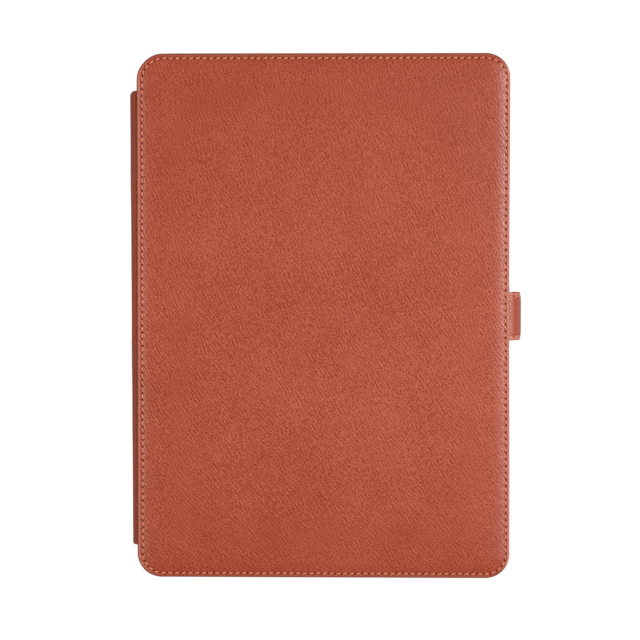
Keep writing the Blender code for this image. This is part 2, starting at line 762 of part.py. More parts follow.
def chassis_plate():
    """The metal plate that carries the display, screwed to the bezel's posts."""
    foot_y = DISPLAY_FOOT - 4.0 * MM
    top_z = CHASSIS_Z + CHASSIS_THICK
    plate = block(
        "chassis_plate",
        (-65.7 * MM, foot_y, CHASSIS_Z),
        (65.7 * MM, 95.2 * MM, top_z),
        ALUMINIUM,
        corner=READER_CORNER - SHELL_WALL,
        corner_steps=4,
    )
    for index, xy in enumerate(CHASSIS_SCREWS):
        hole = f"chassis_plate_hole_{index + 1}"
        cut(plate, rod(hole, SCREW_HOLE, CHASSIS_Z - MM, top_z + MM, xy, ALUMINIUM))
    return plate


def display_flex():
    """A flat cable from the display's foot, round the chassis, onto the main board."""
    thick = 0.2 * MM
    panel_y = DISPLAY_FOOT - GLUE_GAP
    bend_y = DISPLAY_FOOT - 4.6 * MM
    high_z = PANEL_Z + 0.5 * MM
    low_z = BOARD_TOP + GLUE_GAP
    board_y = DISPLAY_FOOT + 3.0 * MM
    # Profiles are drawn in X and Z, so the cable is drawn along X and then turned to run along Y.
    outline = (
        (panel_y, high_z),
        (bend_y, high_z),
        (bend_y, low_z),
        (board_y, low_z),
        (board_y, low_z + thick),
        (bend_y + thick, low_z + thick),
        (bend_y + thick, high_z - thick),
        (panel_y, high_z - thick),
    )
    flex = profile_solid("display_flex", outline, 0.0, 30.0 * MM, FILM)
    flex.rotation_euler.z = math.radians(90.0)
    flex.location.x = -26.0 * MM
    return flex


def main_board():
    board = block(
        "main_board",
        (-60.0 * MM, BOARD_FOOT_Y, BOARD_Z),
        (62.0 * MM, -32.0 * MM, BOARD_TOP),
        CIRCUIT,
        corner=2.0 * MM,
        corner_steps=3,
    )
    half_port = USB_SIZE[0] / 2.0 + 0.3 * MM
    port_back = -READER_HEIGHT / 2.0 + 0.1 * MM + USB_SIZE[1] + 0.3 * MM
    notch = block(
        "main_board_port_notch",
        (-half_port, -97.0 * MM, BOARD_Z - MM),
        (half_port, port_back, BOARD_TOP + MM),
        CIRCUIT,
    )
    cut(board, notch)
    for index, xy in enumerate(BOARD_SCREWS):
        hole = f"main_board_hole_{index + 1}"
        cut(board, rod(hole, SCREW_HOLE, BOARD_Z - MM, BOARD_TOP + MM, xy, CIRCUIT))
    return board


def on_board(name, size, xy, material):
    """A component soldered on top of the main board."""
    centre = (*xy, BOARD_TOP + GLUE_GAP + size[2] / 2.0)
    return slab(name, size, centre, material)


def board_components():
    return (
        on_board("processor_shield", (26.0 * MM, 24.0 * MM, 0.9 * MM), (30.0 * MM, -56.0 * MM), STEEL),
        on_board("memory_chip", (11.5 * MM, 13.0 * MM, 0.8 * MM), (2.0 * MM, -56.0 * MM), CHIP),
        on_board("wireless_module", (15.0 * MM, 12.0 * MM, 0.9 * MM), (-44.0 * MM, -48.0 * MM), STEEL),
        on_board("cover_sensor", (2.9 * MM, 1.6 * MM, 0.9 * MM), (58.0 * MM, -50.0 * MM), CHIP),
        on_board("battery_socket", (8.0 * MM, 4.0 * MM, 0.9 * MM), (20.0 * MM, -36.0 * MM), KEY_PLASTIC),
    )


def battery():
    pack = slab(
        "battery_pack",
        (90.0 * MM, 98.0 * MM, 2.6 * MM),
        (0.0, 22.0 * MM, 7.0 * MM),
        FOIL,
        corner=2.0 * MM,
        corner_steps=3,
    )
    lead = block(
        "battery_lead",
        (17.0 * MM, -33.7 * MM, 7.6 * MM),
        (23.0 * MM, -27.3 * MM, 8.0 * MM),
        FILM,
    )
    return pack, lead


def usb_port():
    """A stadium-shaped steel shell with its tongue inside, open at the reader's foot."""
    front_y = -READER_HEIGHT / 2.0 + 0.1 * MM
    back_y = front_y + USB_SIZE[1]
    half_x = USB_SIZE[0] / 2.0
    wall = 0.32 * MM
    size = (USB_SIZE[0], USB_SIZE[2], USB_SIZE[1])
    centre = (0.0, (front_y + back_y) / 2.0, PORT_Z)
    port = slab("usb_port", size, centre, STEEL, corner=1.28 * MM, corner_steps=5)
    port.rotation_euler.x = math.radians(90.0)
    hollow_size = (size[0] - 2.0 * wall, size[1] - 2.0 * wall, size[2])
    hollow_centre = (0.0, centre[1] - 1.0 * MM, PORT_Z)
    hollow = slab("usb_port_hollow", hollow_size, hollow_centre, STEEL, corner=1.0 * MM, corner_steps=5)
    hollow.rotation_euler.x = math.radians(90.0)
    cut(port, hollow)
    tongue_half = half_x - 1.1 * MM
    tongue = block(
        "usb_port_tongue",
        (-tongue_half, front_y + 1.2 * MM, PORT_Z - 0.35 * MM),
        (tongue_half, back_y - 0.5 * MM, PORT_Z + 0.35 * MM),
        STEEL,
    )
    add(port, tongue)
    return port


def power_button():
    """A bar that slides in through the foot wall; its flange keeps it inside."""
    outer_y = -READER_HEIGHT / 2.0 - POWER_PROUD
    flange_y = -READER_HEIGHT / 2.0 + SHELL_WALL + 0.2 * MM
    inner_y = flange_y + 0.7 * MM
    half_x = POWER_SIZE[0] / 2.0
    half_z = POWER_SIZE[1] / 2.0
    stem_size = (2.0 * half_x, 2.0 * half_z, flange_y - outer_y + 0.3 * MM)
    stem_centre = (POWER_X, outer_y + stem_size[2] / 2.0, PORT_Z)
    button = slab("power_button", stem_size, stem_centre, KEY_PLASTIC, corner=1.1 * MM, corner_steps=5)
    button.rotation_euler.x = math.radians(90.0)
    flange = block(
        "power_button_flange",
        (POWER_X - half_x - POWER_FLANGE, flange_y, PORT_Z - half_z - POWER_FLANGE),
        (POWER_X + half_x + POWER_FLANGE, inner_y, PORT_Z + half_z + POWER_FLANGE),
        KEY_PLASTIC,
    )
    add(button, flange)
    switch = block(
        "power_switch",
        (POWER_X - 2.0 * MM, inner_y + 0.5 * MM, BOARD_TOP + GLUE_GAP),
        (POWER_X + 2.0 * MM, inner_y + 3.2 * MM, BOARD_TOP + 1.4 * MM),
        STEEL,
    )
    return button, switch


def page_key(name, x):
    """A slim key: a cap above the bezel and a wider flange beneath it."""
    flange_top = BEZEL_Z - 0.2 * MM
    flange_foot = flange_top - 0.8 * MM
    cap_top = READER_TOP + KEY_PROUD
    cap = block(
        name,
        (x - KEY_SIZE[0] / 2.0, KEY_Y - KEY_SIZE[1] / 2.0, flange_top - 0.3 * MM),
        (x + KEY_SIZE[0] / 2.0, KEY_Y + KEY_SIZE[1] / 2.0, cap_top),
        KEY_PLASTIC,
        corner=KEY_SIZE[1] / 2.0 - 0.1 * MM,
        corner_steps=5,
    )
    flange = block(
        name + "_flange",
        (x - KEY_SIZE[0] / 2.0 - KEY_FLANGE, KEY_Y - KEY_SIZE[1] / 2.0 - KEY_FLANGE, flange_foot),
        (x + KEY_SIZE[0] / 2.0 + KEY_FLANGE, KEY_Y + KEY_SIZE[1] / 2.0 + KEY_FLANGE, flange_top),
        KEY_PLASTIC,
    )
    add(cap, flange)
    return cap


def key_switches():
    """A dome switch under each key, as one shape turned once and shared."""
    flange_foot = BEZEL_Z - 1.0 * MM
    low_z = KEY_BOARD_Z + PCB_THICK + GLUE_GAP
    top_z = flange_foot - KEY_TRAVEL - 0.2 * MM
    height = top_z - low_z
    radius = 1.6 * MM
    profile = (
        (0.0, height),
        (0.6 * radius, 0.9 * height),
        (radius, 0.3 * height),
        (radius, 0.0),
        (0.0, 0.0),
    )
    first = turned("key_switch_1", profile, (KEY_XS[0], KEY_Y, low_z), STEEL)
    switches = [first]
    for index, x in enumerate(KEY_XS[1:]):
        copy = first.copy()
        copy.name = f"key_switch_{index + 2}"
        copy.location.x = x
        PARTS.objects.link(copy)
        switches.append(copy)
    return switches


def key_board():
    board = block(
        "key_board",
        (-48.0 * MM, -91.0 * MM, KEY_BOARD_Z),
        (48.0 * MM, -82.0 * MM, KEY_BOARD_Z + PCB_THICK),
        CIRCUIT,
    )
    port_back = -READER_HEIGHT / 2.0 + USB_SIZE[1] + 0.5 * MM
    half_port = USB_SIZE[0] / 2.0 + 0.5 * MM
    notch = block(
        "key_board_port_notch",
        (-half_port, -92.0 * MM, KEY_BOARD_Z - MM),
        (half_port, port_back, KEY_BOARD_Z + 2.0 * MM),
        CIRCUIT,
    )
    cut(board, notch)
    for index, xy in enumerate(KEY_BOARD_SCREWS):
        hole = f"key_board_hole_{index + 1}"
        cut(board, rod(hole, SCREW_HOLE, KEY_BOARD_Z - MM, KEY_BOARD_Z + 2.0 * MM, xy, CIRCUIT))
    return board


def screws(name, places, seat_z, head_up, reach):
    """Pan-head screws of one shape; seat_z is the face that each head bears on."""
    profile = (
        (0.0, SCREW_HEAD_HEIGHT),
        (0.7 * SCREW_HEAD_RADIUS, SCREW_HEAD_HEIGHT),
        (SCREW_HEAD_RADIUS, 0.5 * SCREW_HEAD_HEIGHT),
        (SCREW_HEAD_RADIUS, 0.0),
        (SCREW_SHANK_RADIUS, 0.0),
        (SCREW_SHANK_RADIUS, -reach),
        (0.0, -reach),
    )
    gap = GLUE_GAP if head_up else -GLUE_GAP
    first = turned(f"{name}_1", profile, (*places[0], seat_z + gap), STEEL)
    if not head_up:
        first.rotation_euler.x = math.pi
    made = [first]
    for index, xy in enumerate(places[1:]):
        copy = first.copy()
        copy.name = f"{name}_{index + 2}"
        copy.location = (*xy, seat_z + gap)
        PARTS.objects.link(copy)
        made.append(copy)
    return made


def build():
    back_frame = pivot("back_cover_frame", (0.0, 0.0, 0.0))
    spine_pivot = pivot("spine_pivot", (FOLD_X, 0.0, BACK_FOLD_Z))
    front_pivot = pivot("front_cover_pivot", (FOLD_X, 0.0, FRONT_FOLD_Z))
    tab_pivot = pivot("closure_tab_pivot", (TAB_PIVOT_X, TAB_CENTRE_Y, TAB_PIVOT_Z))
    hang(back_frame, spine_pivot)
    hang(spine_pivot, front_pivot)
    hang(front_pivot, tab_pivot)

    hang(back_frame, *back_cover(), *holding_tray())
    hang(spine_pivot, *spine_strip())
    hang(front_pivot, *front_cover())
    outer_leather = tab_layer(
        "closure_tab_outer",
        (0.0, 0.0),
        (TAB_OUTER, TAB_OUTER),
        TAB_HIDE,
    )
    inner_leather = tab_layer(
        "closure_tab_inner",
        (TAB_OUTER + GLUE_GAP, TAB_FULL_THICK - TAB_INNER),
        (TAB_BEND_THICK, TAB_FULL_THICK),
        TAB_HIDE,
    )
    hang(tab_pivot, outer_leather, inner_leather, *tab_core())

    hang(back_frame, rear_shell(), front_bezel(), *display_stack(), chassis_plate())
    hang(back_frame, display_flex(), main_board(), *board_components(), *battery())
    hang(back_frame, usb_port(), *power_button(), key_board(), *key_switches())
    board_fixings = screws("board_screw", BOARD_SCREWS, BOARD_TOP, True, BOARD_SCREW_REACH)
    chassis_fixings = screws("chassis_screw", CHASSIS_SCREWS, CHASSIS_Z, False, POST_SCREW_REACH)
    key_fixings = screws("key_board_screw", KEY_BOARD_SCREWS, KEY_BOARD_Z, False, POST_SCREW_REACH)
    hang(back_frame, *board_fixings, *chassis_fixings, *key_fixings)
    for key_name, x in zip(KEY_NAMES, KEY_XS):
        hang(back_frame, page_key(key_name, x))


build()
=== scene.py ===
"""The looks of the e-reader folio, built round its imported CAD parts. Metres, +Z up."""

import json
import math

import bpy
import numpy as np
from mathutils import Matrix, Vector


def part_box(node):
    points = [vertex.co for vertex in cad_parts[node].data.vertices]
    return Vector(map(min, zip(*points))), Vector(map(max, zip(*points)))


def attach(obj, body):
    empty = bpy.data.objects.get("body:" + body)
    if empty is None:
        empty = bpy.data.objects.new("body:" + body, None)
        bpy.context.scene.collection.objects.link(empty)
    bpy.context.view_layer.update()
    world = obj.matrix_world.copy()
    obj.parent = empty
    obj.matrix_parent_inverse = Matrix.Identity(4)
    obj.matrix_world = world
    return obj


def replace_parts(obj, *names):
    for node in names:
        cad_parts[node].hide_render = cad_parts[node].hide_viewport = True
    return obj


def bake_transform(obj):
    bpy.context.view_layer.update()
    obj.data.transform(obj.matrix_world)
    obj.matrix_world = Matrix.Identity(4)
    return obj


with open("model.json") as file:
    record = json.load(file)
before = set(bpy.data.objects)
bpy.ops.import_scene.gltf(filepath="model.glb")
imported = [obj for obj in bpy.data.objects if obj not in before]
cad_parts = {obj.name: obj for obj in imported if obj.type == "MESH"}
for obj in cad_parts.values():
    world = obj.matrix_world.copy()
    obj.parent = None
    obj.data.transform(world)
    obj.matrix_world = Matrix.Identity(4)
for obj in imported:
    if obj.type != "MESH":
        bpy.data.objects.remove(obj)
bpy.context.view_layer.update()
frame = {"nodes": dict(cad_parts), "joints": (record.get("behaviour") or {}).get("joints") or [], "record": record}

MM = 0.001
QUARTER = math.pi / 2.0  # of a turn

# The covers, read from the frame.
_, COVER_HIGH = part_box("front_cover_leather")
LINING_LOW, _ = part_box("front_cover_lining")
BACK_LOW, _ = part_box("back_cover_leather")
HALF_WIDTH = COVER_HIGH[0]
HALF_HEIGHT = COVER_HIGH[1]
CORNER = 9.7 * MM
FLAT_X = HALF_WIDTH - CORNER  # the corners' centres
FLAT_Y = HALF_HEIGHT - CORNER
CROWN = 0.8 * MM  # the padding's height over the rim
PUFF_REACH = 2.6 * MM  # how quickly the padding rises inside the seam
RIM_HALF = (COVER_HIGH[2] - CROWN - LINING_LOW[2]) / 2.0  # half the rim's thickness
FRONT_MID = LINING_LOW[2] + RIM_HALF  # the middle of each rim
BACK_MID = BACK_LOW[2] + CROWN + RIM_HALF

# Folds and the closure tab, read from the frame.
JOINTS = {joint["name"]: joint for joint in frame["joints"]}
BACK_FOLD = JOINTS["back_fold"]["pos_m"]
FRONT_FOLD = JOINTS["front_fold"]["pos_m"]
TAB_FOLD = JOINTS["tab_fold"]["pos_m"]
SPINE_LOW, SPINE_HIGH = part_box("spine_leather")
TAB_LOW, TAB_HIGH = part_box("closure_tab_outer")

# Sewing.
SEAM_INSET = 1.8 * MM
SEAT = RIM_HALF - 0.22 * MM  # the sewn channel's height over a cover's mid plane
LIP_CREST = 0.74 * MM
LIP_GROOVE = 1.16 * MM  # the creased line between the turned lip and the seam
PITCH = 2.61 * MM
HOLE_LENGTH = 0.92 * MM  # a needle hole, along the seam
HOLE_WIDTH = 0.66 * MM
THREAD_RADIUS = 0.26 * MM
THREAD_SIDES = 8
STITCH = np.linspace(0.0, 1.0, 9)  # shares of the way along one stitch
ARCH = np.sin(math.pi * STITCH) ** 0.6  # how far it stands up there

# Mesh steps along a cover's short sides, its long sides and round each corner.
STEP = 0.66 * MM
SIDE_X = round(2.0 * FLAT_X / STEP)
SIDE_Y = round(2.0 * FLAT_Y / STEP)
ARC = 24


# ---- outline of a cover


def distances(points):
    """How far along a row of points each one lies."""
    steps = np.linalg.norm(np.diff(points, axis=0), axis=1)
    return np.concatenate([[0.0], np.cumsum(steps)])


def offsets(x, z, pairs):
    """Points out from and down from a place, by pairs of millimetres."""
    return [(x + out * MM, z - down * MM) for out, down in pairs]


def point_at(length, lengths, points):
    """The points at some distances along a row of points."""
    return np.column_stack([np.interp(length, lengths, points[:, k]) for k in (0, 1)])


def outline(inset):
    """Points round a cover's edge, set in by a distance of up to CORNER."""
    radius = CORNER - inset
    out_x = FLAT_X + radius
    out_y = FLAT_Y + radius
    along_x = np.linspace(-FLAT_X, FLAT_X, SIDE_X + 1)
    along_y = np.linspace(-FLAT_Y, FLAT_Y, SIDE_Y + 1)
    turn = np.linspace(0.0, QUARTER, ARC + 1)[1:]
    sides = (
        (np.full_like(along_y, out_x), along_y, FLAT_X, FLAT_Y),
        (along_x[::-1], np.full_like(along_x, out_y), -FLAT_X, FLAT_Y),
        (np.full_like(along_y, -out_x), along_y[::-1], -FLAT_X, -FLAT_Y),
        (along_x, np.full_like(along_x, -out_y), FLAT_X, -FLAT_Y),
    )
    points = []
    for index, (xs, ys, centre_x, centre_y) in enumerate(sides):
        start = 0 if index == 0 else 1
        points.append(np.stack([xs[start:], ys[start:]], axis=1))
        angle = turn + index * QUARTER
        arc_x = centre_x + radius * np.cos(angle)
        arc_y = centre_y + radius * np.sin(angle)
        points.append(np.stack([arc_x, arc_y], axis=1))
    return np.concatenate(points)[:-1]


SEAM_POINTS = outline(SEAM_INSET)
SEAM_CLOSED = np.concatenate([SEAM_POINTS, SEAM_POINTS[:1]])
SEAM_LENGTHS = distances(SEAM_CLOSED)
STITCHES = round(SEAM_LENGTHS[-1] / PITCH)
SEAM_PITCH = SEAM_LENGTHS[-1] / STITCHES
RING = len(SEAM_POINTS)
RING_LENGTHS = SEAM_LENGTHS[:-1]

# The grid places that ring points meet where the arcs have shrunk to their centres.
SHRUNK = outline(CORNER)
GRID_COLUMNS = np.rint((SHRUNK[:, 0] / FLAT_X + 1.0) * SIDE_X / 2.0).astype(int)
GRID_ROWS = np.rint((SHRUNK[:, 1] / FLAT_Y + 1.0) * SIDE_Y / 2.0).astype(int)

# The small ways in which the sewn cover strays from a true rectangle.
SEWN_SHIFT = (0.33 * MM, -0.14 * MM)  # the seam sits a little off the middle of the cut piece
FORE_EDGE_DRAW = (0.3 * MM, 15.0 * MM, 55.0 * MM)  # drawn in: how far, round which place, reach
TAB_DRAW = (0.1 * MM, 11.0 * MM)  # drawn in at the tab: how far, reach
CORNER_REACH = 7.0 * MM
# How far each corner's curve is pushed in from a true arc, as (x side, y side, push).
CORNER_PUSH = (
    (-1.0, 1.0, 0.52 * MM),
    (-1.0, -1.0, -0.22 * MM),
    (1.0, 1.0, -0.12 * MM),
    (1.0, -1.0, -0.22 * MM),
)


def hand_cut(points, inset):
    """Points of a true outline or grid, moved to where they lie on the sewn cover."""
    x = points[:, 0]
    y = points[:, 1]
    right = np.clip(0.5 + 0.5 * x / HALF_WIDTH, 0.0, 1.0) ** 3
    depth, middle, reach = FORE_EDGE_DRAW
    drawn_in = depth * np.exp(-(((y - middle) / reach) ** 2))
    depth, reach = TAB_DRAW
    pulled = depth * np.exp(-(((y - TAB_FOLD[1]) / reach) ** 4))
    sewn = min(max(inset / LIP_GROOVE - 0.3, 0.0), 1.0)
    moved = points + sewn * np.array(SEWN_SHIFT)
    moved[:, 0] -= right * (drawn_in + pulled)
    for side_x, side_y, push in CORNER_PUSH:
        away = np.hypot(x - side_x * HALF_WIDTH, y - side_y * HALF_HEIGHT)
        pushed = push * np.exp(-((away / CORNER_REACH) ** 2)) / math.sqrt(2.0)
        moved[:, 0] -= side_x * pushed
        moved[:, 1] -= side_y * pushed
    return moved


# ---- meshes


def add_object(name, data):
    """A new object in the scene."""
    obj = bpy.data.objects.new(name, data)
    bpy.context.scene.collection.objects.link(obj)
    return obj


def make_mesh(name, vertices, faces, **layers):
    """A smooth mesh; each layer holds two distances, in metres, for every face corner."""
    mesh = bpy.data.meshes.new(name)
    mesh.from_pydata(np.asarray(vertices).tolist(), [], faces)
    for layer_name, values in layers.items():
        layer = mesh.uv_layers.new(name=layer_name)
        layer.data.foreach_set("uv", np.asarray(values, np.float32).ravel())
    mesh.shade_smooth()
    mesh.update()
    return add_object(name, mesh)


def wobble(length, wave, seed):
    """Smooth repeatable noise, between -1 and 1, along a distance."""
    rng = np.random.default_rng(seed)
    total = np.zeros_like(length)
    for octave in range(3):
        wavelength = wave / 1.7**octave
        phases = rng.uniform(0.0, 2.0 * math.pi, 2)
        for phase, detune in zip(phases, rng.uniform(0.8, 1.25, 2)):
            total += np.sin(length / wavelength * detune * 2.0 * math.pi + phase)
    return total / 6.0


def sewn_rings(profile, pucker):
    """Rings of a sheet from the rim in: their places, and heights over the mid plane."""
    puckers = 0.6 * wobble(RING_LENGTHS, 4.2 * MM, 3) + 0.4 * wobble(RING_LENGTHS, 2.3 * MM, 8)
    scallops = -np.cos(2.0 * math.pi * RING_LENGTHS / SEAM_PITCH)
    places = []
    heights = []
    for inset, height in profile[:-1]:
        past_seam = inset - SEAM_INSET
        near_seam = math.exp(-((past_seam / (1.0 * MM)) ** 2))
        inside = math.exp(-past_seam / (2.4 * MM)) if past_seam > 0.0 else 0.2  # stiff lip
        places.append(hand_cut(outline(inset), inset))
        heights.append(height + pucker * (0.35 * near_seam * scallops + inside * puckers))
    return places, heights


def sheet_middle(height, dome):
    """The grid between the corners' centres: domed, with slow waves."""
    across = np.linspace(-FLAT_X, FLAT_X, SIDE_X + 1)
    up = np.linspace(-FLAT_Y, FLAT_Y, SIDE_Y + 1)
    y, x = (grid.ravel() for grid in np.meshgrid(up, across, indexing="ij"))
    rise = (1.0 - np.abs(x / FLAT_X) ** 5) * (1.0 - np.abs(y / FLAT_Y) ** 7)
    waves = wobble(x + 0.4 * y, 61.0 * MM, 5) + wobble(y - 0.3 * x, 47.0 * MM, 6)
    heights = height + dome * rise + 0.05 * MM * waves * rise**0.5
    return hand_cut(np.stack([x, y], axis=1), CORNER), heights


def sheet_faces(insets):
    """Faces of the rings and of the grid, each with its corners' distances along and in."""
    levels = len(insets) - 1
    base = levels * RING
    rows = [range(level * RING, (level + 1) * RING) for level in range(levels)]
    rows.append((base + GRID_ROWS * (SIDE_X + 1) + GRID_COLUMNS).tolist())
    faces = []
    sewing = []
    for level in range(levels):
        outer, inner = rows[level], rows[level + 1]
        rim, middle = insets[level], insets[level + 1]
        for i in range(RING):
            j = (i + 1) % RING
            low, high = SEAM_LENGTHS[i], SEAM_LENGTHS[i + 1]
            face = [outer[i], outer[j], inner[j]]
            corners = [(low, rim), (high, rim), (high, middle)]
            if inner[i] != inner[j]:
                face.append(inner[i])
                corners.append((low, middle))
            faces.append(face)
            sewing.append(corners)
    here = np.arange(SIDE_Y)[:, None] * (SIDE_X + 1) + np.arange(SIDE_X)[None, :] + base
    above = here + SIDE_X + 1
    quads = np.stack([here, here + 1, above + 1, above], axis=-1).reshape(-1, 4)
    faces.extend(quads.tolist())
    sewing.extend([[(0.0, CORNER)] * 4] * len(quads))
    return faces, sewing


def cover_sheet(name, profile, mid_z, side, dome, pucker):
    """A sheet over a whole cover: rings of (inset, height) from the rim in, then a grid."""
    places, heights = sewn_rings(profile, pucker)
    middle_places, middle_heights = sheet_middle(profile[-1][1], dome)
    xy = np.concatenate([*places, middle_places])
    z = mid_z + side * np.concatenate([*heights, middle_heights])
    faces, sewing = sheet_faces([inset for inset, _ in profile])
    if side < 0:
        faces = [face[::-1] for face in faces]
        sewing = [corners[::-1] for corners in sewing]
    corners = [corner for face_corners in sewing for corner in face_corners]
    return make_mesh(name, np.column_stack([xy, z]), faces, sewing=corners)


def tube_faces(rows, ring, first=0):
    """Faces between neighbouring rings of points."""
    faces = []
    for row in range(rows - 1):
        for k in range(ring):
            a = first + row * ring + k
            b = first + row * ring + (k + 1) % ring
            faces.append((a, b, b + ring, a + ring))
    return faces


def swept_rim(name, section, mid_z, side):
    """A closed (inset, height) section carried round a cover's edge."""
    uneven = 0.03 * MM * wobble(RING_LENGTHS, 19.0 * MM, 11)
    vertices = []
    for inset, height in section:
        z = mid_z + side * (height + uneven)
        vertices.append(np.column_stack([hand_cut(outline(inset), inset), z]))
    faces = []
    for level in range(len(section)):
        row = level * RING
        below = (level + 1) % len(section) * RING
        for i in range(RING):
            j = (i + 1) % RING
            face = (row + i, below + i, below + j, row + j)
            faces.append(face if side > 0 else face[::-1])
    return make_mesh(name, np.concatenate(vertices), faces)


def thread_mesh(name, tracks, normals):
    """Stitches as short tubes that thin at their ends. Each has a row of points and a normal."""
    angles = 2.0 * math.pi * np.arange(THREAD_SIDES)[:, None] / THREAD_SIDES
    vertices = []
    faces = []
    for track, normal in zip(tracks, normals):
        forward = np.gradient(track, axis=0)
        forward /= np.linalg.norm(forward, axis=1)[:, None]
        across = np.cross(forward, normal)
        across /= np.linalg.norm(across, axis=1)[:, None]
        over = np.cross(across, forward)
        first = len(vertices)
        share = np.linspace(-1.0, 1.0, len(track))
        girth = THREAD_RADIUS * (1.0 - 0.45 * np.abs(share) ** 3)
        spokes = across[:, None] * np.cos(angles) + over[:, None] * np.sin(angles)
        rings = track[:, None] + girth[:, None, None] * spokes
        vertices.extend(rings.reshape(-1, 3))
        faces.extend(tube_faces(len(track), THREAD_SIDES, first))
        last = len(vertices) - THREAD_SIDES
        faces.append(tuple(first + k for k in reversed(range(THREAD_SIDES))))
        faces.append(tuple(last + k for k in range(THREAD_SIDES)))
    return make_mesh(name, vertices, faces)


def seam_point(length, inset_shift):
    """Places on the seam, at distances along it, moved towards the cover's middle."""
    here = point_at(np.mod(length, SEAM_LENGTHS[-1]), SEAM_LENGTHS, SEAM_CLOSED)
    ahead = point_at(np.mod(length + 0.3 * MM, SEAM_LENGTHS[-1]), SEAM_LENGTHS, SEAM_CLOSED)
    forward = ahead - here
    forward /= np.linalg.norm(forward, axis=1)[:, None]
    inward = np.column_stack([-forward[:, 1], forward[:, 0]])
    return hand_cut(here + inward * inset_shift[:, None], SEAM_INSET)


def seam_stitches(name, seat, mid_z, side):
    """The row of stitches round a cover; each one leans a little across the seam."""
    rng = np.random.default_rng(21)
    tracks = []
    for index in range(STITCHES):
        along = (index + 0.14 + 0.72 * STITCH) * SEAM_PITCH
        lean = (0.2 + 0.06 * rng.uniform(-1.0, 1.0)) * MM
        drift = 0.05 * rng.uniform(-1.0, 1.0) * MM
        flat = seam_point(along, lean * (2.0 * STITCH - 1.0) * side + drift)
        height = seat - 0.42 * MM + (0.56 + 0.05 * rng.uniform(-1.0, 1.0)) * MM * ARCH
        tracks.append(np.column_stack([flat, mid_z + side * height]))
    return thread_mesh(name, tracks, [np.array([0.0, 0.0, side])] * STITCHES)


# ---- materials


